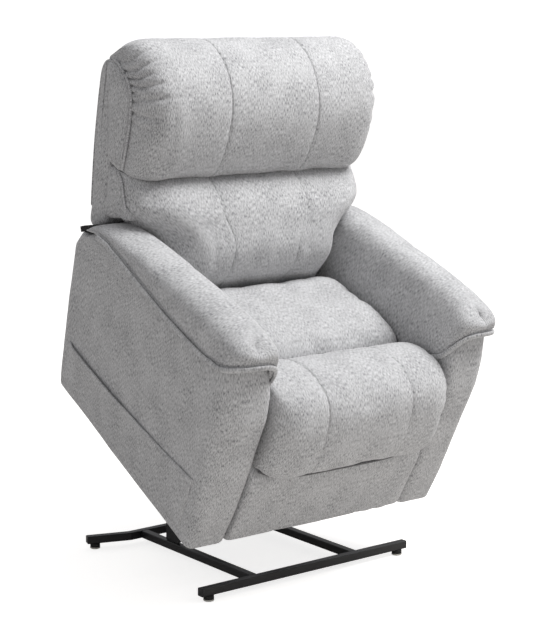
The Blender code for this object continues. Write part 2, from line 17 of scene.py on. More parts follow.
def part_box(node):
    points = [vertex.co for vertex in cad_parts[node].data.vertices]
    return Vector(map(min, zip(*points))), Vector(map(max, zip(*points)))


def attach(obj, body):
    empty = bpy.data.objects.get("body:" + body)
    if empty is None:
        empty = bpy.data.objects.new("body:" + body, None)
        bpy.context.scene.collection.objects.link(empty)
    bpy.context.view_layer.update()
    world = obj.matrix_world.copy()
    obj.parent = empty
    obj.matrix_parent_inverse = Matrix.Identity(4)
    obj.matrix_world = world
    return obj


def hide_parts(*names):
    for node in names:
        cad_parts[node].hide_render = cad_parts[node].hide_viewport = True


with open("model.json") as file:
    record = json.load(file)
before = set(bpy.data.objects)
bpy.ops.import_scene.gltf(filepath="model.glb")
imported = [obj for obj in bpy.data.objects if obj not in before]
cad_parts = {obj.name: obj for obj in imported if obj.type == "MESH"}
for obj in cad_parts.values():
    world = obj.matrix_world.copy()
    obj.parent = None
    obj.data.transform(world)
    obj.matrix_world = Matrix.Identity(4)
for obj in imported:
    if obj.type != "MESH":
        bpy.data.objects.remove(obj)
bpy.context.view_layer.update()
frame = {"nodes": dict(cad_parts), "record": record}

JOINTS = {joint["name"]: joint for joint in frame["record"]["behaviour"]["joints"]}

# %% [markdown]
# ## The chair's own directions
# Two hinges of the chair frame are known both in the chair's drawing and in the world, so the tilt and the
# place of the chair follow from them. Nothing else has to be fitted.

# %% Chair frame
RECLINE_PIVOT = (0.620, 0.300)        # v, w of the back hinge in the chair's drawing
FOOTREST_PIVOT = (0.060, 0.352)       # v, w of the footrest hinge
recline_world = Vector(JOINTS["recline"]["pos_m"])
footrest_world = Vector(JOINTS["footrest_out"]["pos_m"])
span_world = recline_world - footrest_world
TILT = atan2(span_world.z, span_world.y) - atan2(RECLINE_PIVOT[1] - FOOTREST_PIVOT[1],
                                                 RECLINE_PIVOT[0] - FOOTREST_PIVOT[0])
turn = Matrix.Rotation(TILT, 4, "X")
CHAIR = Matrix.Translation(recline_world - turn @ Vector((0, *RECLINE_PIVOT))) @ turn
CHAIR_NP = np.array(CHAIR)
print("tilt", round(np.degrees(TILT), 2), "degrees, chair origin", [round(c, 4) for c in CHAIR.translation])


def to_world(points):
    """Chair points (..., 3) as world points."""
    return points @ CHAIR_NP[:3, :3].T + CHAIR_NP[:3, 3]


# %% [markdown]
# ## Colours and nodes
# Colours are written as the sRGB hex values that a person reads off a swatch. Blender mixes light in linear
# values, so one function converts them. One more function adds any node with its settings, its links and,
# for a colour ramp, its stops. That keeps each material readable as a list of nodes.

# %% Colour and node helpers
def linear(hex_colour):
    channels = [int(hex_colour[i:i + 2], 16) / 255 for i in (1, 3, 5)]
    return tuple(c / 12.92 if c <= 0.04045 else ((c + 0.055) / 1.055) ** 2.4 for c in channels) + (1.0,)


def add(tree, kind, settings=None, inputs=None, stops=()):
    """Add a node: settings are its properties, inputs are values or output sockets to link, and stops are
    the (position, hex colour) pairs of a colour ramp."""
    made = tree.nodes.new(kind)
    for name, value in (settings or {}).items():
        setattr(made, name, value)
    for name, value in (inputs or {}).items():
        socket = made.inputs[name]
        if isinstance(value, bpy.types.NodeSocket):
            tree.links.new(value, socket)
        else:
            socket.default_value = value
    elements = made.color_ramp.elements if stops else ()
    while len(elements) < len(stops):
        elements.new(0.5)
    for element, (position, colour) in zip(elements, stops):
        element.position = position
        element.color = linear(colour)
    return made


def new_material(name, **shader_inputs):
    made = bpy.data.materials.new(name)
    made.use_nodes = True
    tree = made.node_tree
    shader = tree.nodes["Principled BSDF"]
    for key, value in shader_inputs.items():
        shader.inputs[key.replace("_", " ")].default_value = value
    return made, tree, shader


print("mid grey #808080 is", round(linear("#808080")[0], 3), "in linear light")

# %% [markdown]
# ## Heathered tweed
# The cover is a loose plain weave of slubby polyester yarn, light grey with darker flecks. The flecks are
# short stretches of dark fibre that run with the warp, so they are narrow across and several times longer
# along. A tiled picture would repeat, so the cloth is made of noise stretched along the warp instead. Every
# soft mesh carries a UV map in metres, u across the threads and v along the warp, which keeps the yarn the
# right size and direction on each panel. To the eye this is a matt, slightly fuzzy surface: hence the high
# roughness, the low specular level and a little sheen at grazing angles.

# %% Tweed material
YARN_MM = 1.9                         # one yarn with its gap; drawn coarse, since about 1 mm wouldn't show
SLUB_MM = 9.5                         # length of a fleck along the warp
CLOUD_MM = (60.0, 90.0)               # slow changes of tone from one batch of yarn to the next
SPECK_WEIGHT, CLOUD_WEIGHT = 0.30, 0.18
RELIEF, RELIEF_DEPTH = 0.25, 0.0012   # strength and depth in metres of the woven surface


def tweed(name, dark, mid, light):
    """Woven cloth in three tones, darkest where a dark fleck lies on top."""
    made, tree, shader = new_material(name, Roughness=0.92, Sheen_Weight=0.25, Sheen_Roughness=0.45,
                                      Specular_IOR_Level=0.25)
    uv = add(tree, "ShaderNodeUVMap", {"uv_map": "threads"}).outputs["UV"]

    def threads(across_mm, along_mm, detail, seed):
        place = add(tree, "ShaderNodeMapping", inputs={
            "Vector": uv, "Location": (seed, seed * 1.7, 0.0),
            "Scale": (1000 / across_mm, 1000 / along_mm, 1.0)}).outputs["Vector"]
        return add(tree, "ShaderNodeTexNoise", {"noise_dimensions": "2D"},
                   {"Vector": place, "Scale": 1.0, "Detail": detail, "Roughness": 0.6}).outputs["Fac"]

    slubs = threads(YARN_MM, SLUB_MM, 2.0, 3.0)
    specks = threads(YARN_MM * 0.7, YARN_MM * 0.9, 1.0, 11.0)
    cloud = threads(*CLOUD_MM, 2.0, 7.0)
    both = add(tree, "ShaderNodeMath", {"operation": "MULTIPLY_ADD"},
               {0: specks, 1: SPECK_WEIGHT, 2: slubs}).outputs["Value"]
    mixed = add(tree, "ShaderNodeMath", {"operation": "MULTIPLY_ADD"},
                {0: cloud, 1: CLOUD_WEIGHT, 2: both}).outputs["Value"]
    colour = add(tree, "ShaderNodeValToRGB", inputs={"Fac": mixed},
                 stops=((0.52, dark), (0.70, mid), (0.90, light)))
    tree.links.new(colour.outputs["Color"], shader.inputs["Base Color"])

    per_metre = 1000 / YARN_MM
    weave = add(tree, "ShaderNodeMapping", inputs={"Vector": uv, "Scale": (per_metre, per_metre, 1.0)})
    warp = add(tree, "ShaderNodeTexWave", {"wave_type": "BANDS", "bands_direction": "X"},
               {"Vector": weave.outputs["Vector"], "Scale": 0.5, "Distortion": 1.5,
                "Detail": 1.0}).outputs["Fac"]
    height = add(tree, "ShaderNodeMath", {"operation": "MULTIPLY_ADD"}, {0: warp, 1: 0.3, 2: both})
    made_bump = add(tree, "ShaderNodeBump", inputs={"Height": height.outputs["Value"], "Strength": RELIEF,
                                                    "Distance": RELIEF_DEPTH})
    tree.links.new(made_bump.outputs["Normal"], shader.inputs["Normal"])
    return made


TWEED = tweed("heathered_polyester_tweed", "#77777a", "#b3b3b4", "#d2d2d3")
print(TWEED.name, "yarn", YARN_MM, "mm, flecks", SLUB_MM, "mm long")

# %% [markdown]
# ## Coated steel, rubber, nylon and lining
# The small finishes all look plain from a metre away and grainy up close. One function serves them: two close
# tones and a shallow bump that share one noise, whose size in millimetres is an estimate of the real grain.
# What differs most is how wide the highlight is, so the roughness does most of the work.

# %% Plain finishes
GRAIN_DEPTH = 0.0005                  # metres


def grained_finish(name, colour, other, scale_mm, roughness, bump, metallic=0.0):
    """A finish with a fine grain: two close tones and a bump of the same size, in millimetres."""
    made, tree, shader = new_material(name, Roughness=roughness, Metallic=metallic)
    place = add(tree, "ShaderNodeTexCoord").outputs["Object"]
    grain = add(tree, "ShaderNodeTexNoise", inputs={"Vector": place, "Scale": 1000 / scale_mm, "Detail": 3.0})
    tone = add(tree, "ShaderNodeValToRGB", inputs={"Fac": grain.outputs["Fac"]},
               stops=((0.35, colour), (0.7, other)))
    tree.links.new(tone.outputs["Color"], shader.inputs["Base Color"])
    made_bump = add(tree, "ShaderNodeBump", inputs={"Height": grain.outputs["Fac"], "Strength": bump,
                                                    "Distance": GRAIN_DEPTH})
    tree.links.new(made_bump.outputs["Normal"], shader.inputs["Normal"])
    return made


# Baked powder flows out into a skin like orange peel, so its highlight is broad and slightly broken.
POWDER_COAT = grained_finish("black_powder_coat", "#161617", "#262628", 1.5, 0.42, 0.25)
# Plated zinc is a bright metal with a faint cloud in it. It mirrors the room softly.
ZINC = grained_finish("zinc_plated_steel", "#a9abae", "#c9cbce", 6.0, 0.32, 0.1, metallic=1.0)
# Spunbond is a felt of melted fibres with no shine at all, so it only shows as a dark field.
LINING = grained_finish("black_spunbond_lining", "#151515", "#2a2a2b", 2.5, 0.95, 0.5)
# Moulded rubber is matt, so the feet show a dull grey only where light grazes them.
RUBBER = grained_finish("black_moulded_rubber", "#141414", "#202020", 2.0, 0.75, 0.3)
# Undyed nylon is milky and off-white. It sets off the black foot above it.
GLIDE = grained_finish("natural_nylon", "#c9c6bd", "#dedbd2", 4.0, 0.45, 0.1)
# Polyamide plugs are a finer, slightly glossier black than the rubber.
PLASTIC = grained_finish("black_polyamide", "#18181a", "#242427", 1.2, 0.5, 0.3)
print([finish.name for finish in (POWDER_COAT, ZINC, LINING, RUBBER, GLIDE, PLASTIC)])

# %% [markdown]
# ## Plywood
# The footrest's board is birch plywood. Its face is peeled off the log, so the figure is long, pale and wavy
# along the board. Noise squeezed across the grain gives that. The size of the figure is an estimate.

# %% Plywood
FIGURE_LONG_MM, FIGURE_WIDE_MM = 125.0, 6.25


def plywood():
    """Rotary-cut birch: long pale figure along the board and thin dark lines."""
    made, tree, shader = new_material("birch_plywood", Roughness=0.6)
    along, across = 1000 / FIGURE_LONG_MM, 1000 / FIGURE_WIDE_MM
    place = add(tree, "ShaderNodeMapping", inputs={
        "Vector": add(tree, "ShaderNodeTexCoord").outputs["Object"], "Scale": (along, across, across)})
    figure = add(tree, "ShaderNodeTexNoise", inputs={"Vector": place.outputs["Vector"], "Scale": 1.0,
                                                     "Detail": 4.0}).outputs["Fac"]
    tone = add(tree, "ShaderNodeValToRGB", inputs={"Fac": figure},
               stops=((0.3, "#b98f5c"), (0.7, "#dcb985")))
    tree.links.new(tone.outputs["Color"], shader.inputs["Base Color"])
    made_bump = add(tree, "ShaderNodeBump", inputs={"Height": figure, "Strength": 0.2,
                                                    "Distance": GRAIN_DEPTH})
    tree.links.new(made_bump.outputs["Normal"], shader.inputs["Normal"])
    return made


PLYWOOD = plywood()
print(PLYWOOD.name, "figure", FIGURE_LONG_MM, "by", FIGURE_WIDE_MM, "mm")

# %% [markdown]
# ## Smooth curves
# An upholsterer cuts foam to a few drawn lines. Here each line is a handful of points, and a spline through
# them is spaced evenly again, so that faces come out the same size all the way round.

# %% Smooth curves
TINY = 1e-9                           # keeps a division by a length away from zero
SPAN_STEPS = 24                       # steps between two given points before the curve is spaced evenly


def smoothstep(value, low, high):
    """0 below low, 1 above high, with a soft start and end."""
    t = np.clip((value - low) / (high - low), 0, 1)
    return t * t * (3 - 2 * t)


def catmull(points, count, closed):
    """Points spaced evenly along a smooth curve through a few given ones."""
    points = np.asarray(points, float)
    if closed:
        padded = np.vstack([points[-1], points, points[0], points[1]])
    else:
        padded = np.vstack([2 * points[0] - points[1], points, 2 * points[-1] - points[-2]])
    t = np.linspace(0, 1, SPAN_STEPS, endpoint=False)[:, None]
    pieces = []
    for p0, p1, p2, p3 in zip(padded, padded[1:], padded[2:], padded[3:]):
        reach = np.linalg.norm(p2 - p1)
        m1 = (p2 - p0) / max(np.linalg.norm(p2 - p0), TINY) * reach
        m2 = (p3 - p1) / max(np.linalg.norm(p3 - p1), TINY) * reach
        pieces.append(p1 * (2 * t**3 - 3 * t**2 + 1) + m1 * (t**3 - 2 * t**2 + t)
                      + p2 * (3 * t**2 - 2 * t**3) + m2 * (t**3 - t**2))
    dense = np.vstack(pieces + [padded[-2][None] if not closed else pieces[0][:1]])
    along = np.concatenate([[0], np.cumsum(np.linalg.norm(np.diff(dense, axis=0), axis=1))])
    places = np.linspace(0, along[-1], count, endpoint=not closed)
    return np.stack([np.interp(places, along, dense[:, k]) for k in range(dense.shape[1])], axis=1)


print("three points become", catmull([(0, 0), (1, 0), (1, 1)], 12, True).shape[0], "even ones")

# %% [markdown]
# ## Surfaces from rings
# A soft piece is a stack of rings with the same number of points. Knowing which way is out at each point
# lets later steps plump a panel or pull in a seam. Real filling is never even, so a little smooth noise goes
# on too.

# %% Rings, normals and lumps
def grid_normals(grid):
    """Outward normals of a grid of rings: rows are stations, columns run round and close."""
    around = np.roll(grid, -1, axis=1) - np.roll(grid, 1, axis=1)
    along = np.gradient(grid, axis=0)
    normals = np.cross(around, along)
    normals /= np.maximum(np.linalg.norm(normals, axis=2, keepdims=True), TINY)
    centre = grid.mean(axis=1, keepdims=True)
    facing = ((grid - centre) * normals).sum(axis=2)
    return normals * np.sign(facing[len(grid) // 2].sum())


def soft_noise(grid, size, seed):
    """Smooth noise from -1 to 1 over a grid, with lumps of the given size in metres."""
    shift = Vector((seed * 3.1, seed * 7.7, seed * 1.3))
    flat = [noise.noise(Vector(p) / size + shift) for p in grid.reshape(-1, 3)]
    return np.array(flat).reshape(grid.shape[:2])


# %% [markdown]
# ## Meshes that know their threads
# Cloth looks wrong when the weave runs across a panel that was cut along it. So every mesh gets a UV map in
# metres, laid out as the cutter would lay it, and the tweed reads that map.

# %% Mesh with threads
def add_mesh(name, vertices, faces, threads, material, body, replaces=()):
    """A smooth-shaded mesh in world space. threads is each face corner's place on the cloth, in metres."""
    mesh = bpy.data.meshes.new(name)
    mesh.from_pydata([tuple(p) for p in to_world(np.asarray(vertices))], [], faces)
    layer = mesh.uv_layers.new(name="threads")
    layer.data.foreach_set("uv", np.asarray(threads, np.float32).ravel())
    mesh.update()
    volume = sum(face.center.dot(face.normal) * face.area for face in mesh.polygons)
    if volume < 0:
        mesh.flip_normals()
    mesh.shade_smooth()
    mesh.materials.append(material)
    made = bpy.data.objects.new(name, mesh)
    bpy.context.collection.objects.link(made)
    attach(made, body)
    if replaces:
        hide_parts(*replaces)
    return made


# %% [markdown]
# ## Lofts
# Skinning the rings with faces is called a loft. Its ends are closed with smaller rings that crown outward,
# because a flat end with one many-sided face would shade badly and look like cardboard.

# %% Loft
CAP_RINGS = 6
FLAT_AXES = {"x": (1, 2), "v": (0, 2), "w": (0, 1)}     # the two directions a flat end is laid out in


def loft(name, grid, material, body, replaces=(), bulge=0.004, ends="x", upright=False):
    """A closed piece from rings of points. Its two ends are filled with rings that crown outward by bulge.
    ends is the direction the ends face, and upright says that the warp runs from ring to ring."""
    columns = grid.shape[1]
    caps = []
    for ring, behind in ((grid[0], grid[1]), (grid[-1], grid[-2])):
        centre = ring.mean(axis=0)
        axis = centre - behind.mean(axis=0)
        axis = axis / max(np.linalg.norm(axis), TINY)
        steps = [(k + 1) / (CAP_RINGS + 1) for k in range(CAP_RINGS)]
        caps.append(([ring + (centre - ring) * t + axis * bulge * sin(pi / 2 * t) for t in steps],
                     centre + axis * bulge))
    stack = np.array(list(reversed(caps[0][0])) + list(grid) + caps[1][0])
    total = len(stack)
    vertices = np.vstack([stack.reshape(-1, 3), caps[0][1][None], caps[1][1][None]])
    middle = stack[total // 2]
    arc = np.concatenate([[0], np.cumsum(np.linalg.norm(np.roll(middle, -1, axis=0) - middle, axis=1))])
    along = np.concatenate([[0], np.cumsum(np.linalg.norm(np.diff(stack, axis=0), axis=2).mean(axis=1))])
    flat = vertices[:, FLAT_AXES[ends]]
    faces, threads = [], []
    for i in range(total - 1):
        in_cap = i < CAP_RINGS or i >= total - 1 - CAP_RINGS
        for j in range(columns):
            k = (j + 1) % columns
            corners = (i * columns + j, i * columns + k, (i + 1) * columns + k, (i + 1) * columns + j)
            faces.append(corners)
            if in_cap:
                threads += [flat[c] for c in corners]
            else:
                here, there = along[i], along[i + 1]
                laid = [(here, arc[j]), (here, arc[j + 1]), (there, arc[j + 1]), (there, arc[j])]
                threads += [(b, a) for a, b in laid] if upright else laid
    first, last = total * columns, total * columns + 1
    for j in range(columns):
        k = (j + 1) % columns
        for corners in ((first, k, j), (last, (total - 1) * columns + j, (total - 1) * columns + k)):
            faces.append(corners)
            threads += [flat[c] for c in corners]
    made = add_mesh(name, vertices, faces, threads, material, body, replaces)
    return made


# %% [markdown]
# ## Cushions
# A cushion is drawn as sections: closed curves in the chair's side plane, one at the middle and one at the
# ends. The sections between them change along a quarter of a rounded curve, as a stuffed end does. The points
# are then pushed along their normals: out at the middle of each panel, in at each seam, and in small ripples
# where the cover is gathered. A seam is a wide soft dip with a narrow sharp one in it, where the thread
# pulls.

# %% Cushion
COARSE_STEP, FINE_STEP = 0.010, 0.0025          # metres between sections, plain and near a seam or an end
SEAM_REACH = 0.014                              # how far from a seam the sections stay close together
SOFT_SHARE, SOFT_REACH = 0.35, 0.012            # the wide dip beside a seam
SHARP_SHARE, SHARP_REACH = 0.65, 0.0028         # the narrow one in the middle of it
LUMP_SIZE, SMALL_LUMP_SIZE, SMALL_LUMP_SHARE = 0.09, 0.035, 0.4


def stations(half, seams, end_reach=0.02):
    """X stations over -half..half, close together near each seam and near the ends."""
    places = [-half]
    while places[-1] < half:
        near_seam = min([abs(places[-1] - s) for s in seams], default=1.0) < SEAM_REACH
        near_end = half - abs(places[-1]) < end_reach
        places.append(places[-1] + (FINE_STEP if near_seam or near_end else COARSE_STEP))
    places[-1] = half
    return np.array(places)


def cushion(name, middle, end, half, end_length, body, replaces, seams=(), columns=110, crown=0.006,
            valley=0.007, lumps=0.0015, seed=1, widths=None, gathers=None, power=2.0,
            end_reach=0.02):
    """A stuffed cushion between -half and half. middle and end are its sections, end_length is how far from
    the end the section starts to close, power is how square that closing is, crown and valley are how far
    panels rise and seams sink, and widths may narrow it by height."""
    middle_curve = catmull(middle, columns, True)
    end_curve = catmull(end, columns, True)
    xs = stations(half, seams, end_reach=end_reach)
    grid = np.empty((len(xs), columns, 3))
    for i, x in enumerate(xs):
        t = min(1.0, max(0.0, (abs(x) - (half - end_length)) / end_length))
        weight = 1 - (1 - t**power) ** (1 / power)
        section = middle_curve + (end_curve - middle_curve) * weight
        grid[i, :, 0] = x
        grid[i, :, 1:] = section
    edges = np.array([-half, *seams, half])
    which = np.clip(np.searchsorted(edges, xs, side="right") - 1, 0, len(edges) - 2)
    within = (xs - edges[which]) / (edges[which + 1] - edges[which])
    puff = crown * (1 - (2 * within - 1) ** 2)
    pull = np.zeros(len(xs))
    for seam in seams:
        away = np.abs(xs - seam)
        pull += valley * (SOFT_SHARE * np.exp(-(away / SOFT_REACH) ** 2)
                          + SHARP_SHARE * np.exp(-away / SHARP_REACH))
    amount = (puff - pull)[:, None] + lumps * soft_noise(grid, LUMP_SIZE, seed)
    amount += SMALL_LUMP_SHARE * lumps * soft_noise(grid, SMALL_LUMP_SIZE, seed + 5)
    if gathers is not None:
        amount += gathers(grid)
    grid += grid_normals(grid) * amount[..., None]
    if widths is not None:
        grid[..., 0] *= widths(grid[..., 1], grid[..., 2]) / half
    made = loft(name, grid, TWEED, body, replaces)
    return made, grid


# %% [markdown]
# ## Tubes
# Welts and sewn bands are strips of the same cloth folded round a cord or round themselves. A ring swept
# along a path makes them. A flattened ring needs to know which way is up, so the path can be given a level.

# %% Tube
def tube(name, path, radius, material, body, sides=8, flat=1.0, level=None):
    """A closed round or flattened cord of fabric along a path of chair points."""
    path = np.asarray(path, float)
    tangents = np.gradient(path, axis=0)
    tangents /= np.maximum(np.linalg.norm(tangents, axis=1, keepdims=True), TINY)
    reference = np.array([1.0, 0.0, 0.0]) if abs(tangents[:, 0]).mean() < 0.7 else np.array([0.0, 0.0, 1.0])
    if level is not None:
        reference = np.array(level, float)
    side = np.cross(tangents, reference)
    side /= np.maximum(np.linalg.norm(side, axis=1, keepdims=True), TINY)
    up = np.cross(side, tangents)
    rings = []
    for k in range(sides):
        turned = 2 * pi * k / sides
        rings.append(path + side * radius * cos(turned) + up * radius * flat * sin(turned))
    grid = np.array(rings).transpose(1, 0, 2)
    return loft(name, grid, material, body, bulge=radius * 0.3)


# %% [markdown]
# ## Stuffing
# Blender's cloth solver fills the four big cushions: pressure from inside stands for the fibre filling, and
# the cover is cut slightly larger than the shape, so that it settles. Seams and whatever lies against the
# frame are sewn down. The drawn sections give the form, and the cloth only adds to it: no point may travel
# further than a cap of a few millimetres, or each panel would swell into a pillow of its own.

# %% Stuffing
CLOTH_FRAMES = 14                     # steps of the solver
SEWN_REACH = 0.0022                   # points this close to a seam are sewn down with it
stuffed = []


def stuff(piece, sewn, pressure, slack, cap):
    """Set a cushion up for the cloth run. sewn are the points that stay where they are."""
    group = piece.vertex_groups.new(name="sewn")
    group.add([int(i) for i in np.flatnonzero(sewn)], 1.0, "REPLACE")
    cloth = piece.modifiers.new("stuffing", "CLOTH")
    cloth.settings.quality = 4
    cloth.settings.mass = 0.25
    cloth.settings.tension_stiffness = cloth.settings.compression_stiffness = 18
    cloth.settings.shear_stiffness = 6
    cloth.settings.bending_stiffness = 1.2
    cloth.settings.air_damping = 3
    cloth.settings.use_pressure = True
    cloth.settings.uniform_pressure_force = pressure
    cloth.settings.shrink_min = -slack
    cloth.settings.vertex_group_mass = "sewn"
    cloth.settings.effector_weights.gravity = 0
    cloth.collision_settings.use_collision = False
    cloth.point_cache.frame_end = CLOTH_FRAMES
    stuffed.append((piece, cap))


# %% [markdown]
# ## Running the cloth
# Simulations are usually kept as a cache beside the file. This one has to end up in the mesh itself, so it is
# stepped once, its result is written into the vertices with the cap applied, and the solver is taken away.

# %% Run the cloth
def run_stuffing():
    """Step the cloth of all the cushions together, then write the capped result into their meshes."""
    scene = bpy.context.scene
    for frame_number in range(1, CLOTH_FRAMES + 1):
        scene.frame_set(frame_number)
    depsgraph = bpy.context.evaluated_depsgraph_get()
    for piece, cap in stuffed:
        count = len(piece.data.vertices)
        before, after = np.empty(count * 3, np.float32), np.empty(count * 3, np.float32)
        piece.data.vertices.foreach_get("co", before)
        piece.evaluated_get(depsgraph).data.vertices.foreach_get("co", after)
        move = (after - before).reshape(-1, 3)
        length = np.linalg.norm(move, axis=1, keepdims=True)
        move *= np.tanh(length / cap) * cap / np.maximum(length, TINY)
        piece.modifiers.clear()
        piece.vertex_groups.clear()
        piece.data.vertices.foreach_set("co", before + move.ravel())
        piece.data.update()
        furthest = float(np.linalg.norm(move, axis=1).max()) * 1000
        print(piece.name, "stuffed, moved up to", round(furthest, 1), "mm")
    scene.frame_set(1)


def sewn_points(grid, seams, hidden):
    """Which points of a lofted cushion are sewn down: its seams, its ends, and what the frame hides."""
    base = hidden(np.abs(grid[..., 0]), grid[..., 1], grid[..., 2])
    for seam in seams:
        base |= np.abs(grid[..., 0] - seam) < SEWN_REACH
    base[:2] = base[-2:] = True
    cap = np.ones(CAP_RINGS * grid.shape[1], bool)
    return np.concatenate([cap, base.ravel(), cap, [True, True]])


print("cloth runs for", CLOTH_FRAMES, "frames")

# %% [markdown]
# ## Camera, floor and light
# A long lens from well above the seat, to the sitter's right of the chair. The floor and the world are pale,
# with one large soft lamp high on the other side, so the side panel that faces the camera is in shade.

# %% Camera, floor and light
CAMERA_AZIMUTH, CAMERA_PITCH = radians(-37.62), radians(9.54)
CAMERA_DISTANCE = 4.676
CAMERA_AIM = Vector((0.0, 0.0079, 0.6813))
SENSOR_MM, LENS_MM = 36.0, 103.33
SKY = 0.50                            # light from all round, as from white walls
SKY_SEEN = 1.2                        # the world as the camera sees it, past the end of the floor
FLOOR_LIFT = 0.75                     # the paper floor is lit on its own, and the camera sees it near white
FLOOR_HALF, FLOOR_DROP = 60.0, 0.0005           # metres; just below the feet, so that the two don't flicker
SOFTBOXES = (("key", (1.6, -1.7, 4.3), 2.0, 198.0),)    # name, place, side in metres, power in watts
LAMP_AIM = Vector((0, 0, 0.7))                  # the middle of the chair


def build_stage():
    scene = bpy.context.scene
    scene.view_settings.view_transform = "Standard"
    camera = bpy.data.objects.new("camera", bpy.data.cameras.new("camera"))
    scene.collection.objects.link(camera)
    camera.data.sensor_width = SENSOR_MM
    camera.data.lens = LENS_MM
    backward = Vector((sin(CAMERA_AZIMUTH) * cos(CAMERA_PITCH), -cos(CAMERA_AZIMUTH) * cos(CAMERA_PITCH),
                       sin(CAMERA_PITCH)))
    camera.location = CAMERA_AIM + backward * CAMERA_DISTANCE
    camera.rotation_euler = (pi / 2 - CAMERA_PITCH, 0.0, CAMERA_AZIMUTH)
    scene.camera = camera

    floor_mesh = bpy.data.meshes.new("floor")
    corners = [(x * FLOOR_HALF, y * FLOOR_HALF, -FLOOR_DROP) for x, y in ((-1, -1), (1, -1), (1, 1), (-1, 1))]
    floor_mesh.from_pydata(corners, [], [(0, 1, 2, 3)])
    floor = bpy.data.objects.new("floor", floor_mesh)
    scene.collection.objects.link(floor)
    paint, tree, shader = new_material("pale_studio_floor", Roughness=0.9, Specular_IOR_Level=0.1)
    shader.inputs["Base Color"].default_value = linear("#dcd9d5")
    lift = add(tree, "ShaderNodeEmission", inputs={"Color": linear("#ffffff")})
    seen = add(tree, "ShaderNodeLightPath").outputs["Is Camera Ray"]
    strength = add(tree, "ShaderNodeMath", {"operation": "MULTIPLY"}, {0: seen, 1: FLOOR_LIFT})
    tree.links.new(strength.outputs["Value"], lift.inputs["Strength"])
    both = add(tree, "ShaderNodeAddShader", inputs={0: shader.outputs["BSDF"], 1: lift.outputs["Emission"]})
    tree.links.new(both.outputs["Shader"], tree.nodes["Material Output"].inputs["Surface"])
    floor_mesh.materials.append(paint)

    world = bpy.data.worlds.new("studio")
    world.use_nodes = True
    tree = world.node_tree
    sky = tree.nodes["Background"]
    sky.inputs["Color"].default_value = linear("#f7f7f9")
    seen = add(tree, "ShaderNodeLightPath").outputs["Is Camera Ray"]
    strength = add(tree, "ShaderNodeMath", {"operation": "MULTIPLY_ADD"},
                   {0: seen, 1: SKY_SEEN - SKY, 2: SKY})
    tree.links.new(strength.outputs["Value"], sky.inputs["Strength"])
    scene.world = world
    for name, place, size, power in SOFTBOXES:
        lamp = bpy.data.lights.new(name, "AREA")
        lamp.size = size
        lamp.energy = power
        made = bpy.data.objects.new(name, lamp)
        made.location = place
        made.rotation_euler = (LAMP_AIM - Vector(place)).to_track_quat("-Z", "Y").to_euler()
        scene.collection.objects.link(made)


build_stage()
print("camera at", [round(c, 3) for c in bpy.context.scene.camera.location], "with a", LENS_MM, "mm lens")

# %% [markdown]
# ## Arms
# Each arm is a wooden box wrapped in foam and fibre. It is built as a stack of level sections, because the
# corners are what the eye reads: large and soft at the front, tight at the rear. A box with bevelled edges
# would be quicker, but its corners could not open out and close again from the floor to the pad.

# %% Arm guide lines
ARM_IN, ARM_OUT = 0.2855, 0.401       # x of the inner face, and of the outer face at the foot
ARM_FLARE = 0.047                     # how much the outer face leans out per metre of height
ARM_TOP, FOOT_ROUND = 0.530, 0.012    # height of the body under the pad, and the rounding at its foot
FRONT_LINE = [(0.000, 0.006), (0.100, 0.001), (0.240, 0.003), (0.390, 0.012), (0.450, 0.026), (0.486, 0.043),
              (0.513, 0.056), (0.530, 0.066)]
REAR_LINE = [(0.000, 0.684), (0.026, 0.690), (0.133, 0.714), (0.226, 0.732), (0.317, 0.750), (0.405, 0.763),
             (0.447, 0.748), (0.496, 0.720), (0.530, 0.700)]
PAD_TOP = [(0.054, 0.567), (0.066, 0.580), (0.085, 0.594), (0.115, 0.604), (0.151, 0.607), (0.268, 0.597),
           (0.384, 0.579), (0.504, 0.561), (0.600, 0.542), (0.660, 0.524), (0.690, 0.510), (0.708, 0.496),
           (0.716, 0.482)]
SHOULDER = 0.450                      # above this the wooden arm follows the pad's underside
PAD_CLEARANCE = 0.024                 # from the top of the pad down to the top of the arm below it


def line_at(line, w):
    levels, places = zip(*line)
    return np.interp(w, levels, places)


def rounded_rectangle(x0, x1, v0, v1, radii, arc=9):
    """A level section: corners in the order front-in, front-out, rear-out, rear-in, each with its radius."""
    centres = [(x0 + radii[0], v0 + radii[0], pi), (x1 - radii[1], v0 + radii[1], 1.5 * pi),
               (x1 - radii[2], v1 - radii[2], 0.0), (x0 + radii[3], v1 - radii[3], 0.5 * pi)]
    points = []
    for (x, v, start), radius in zip(centres, radii):
        for k in range(arc):
            turned = start + pi / 2 * k / (arc - 1)
            points.append((x + radius * cos(turned), v + radius * sin(turned)))
    return np.array(points)


def resample(loop, count):
    closed = np.vstack([loop, loop[:1]])
    along = np.concatenate([[0], np.cumsum(np.linalg.norm(np.diff(closed, axis=0), axis=1))])
    places = np.linspace(0, along[-1], count, endpoint=False)
    return np.stack([np.interp(places, along, closed[:, k]) for k in range(loop.shape[1])], axis=1)


print("arm lines", len(FRONT_LINE), "front,", len(REAR_LINE), "rear,", len(PAD_TOP), "top")

# %% [markdown]
# ## Arm bodies
# Each level gets its own corners from the guide lines. The outer face and the ends then bulge a little, as
# foam does under a stretched cover, while the inner face beside the seat stays flat.

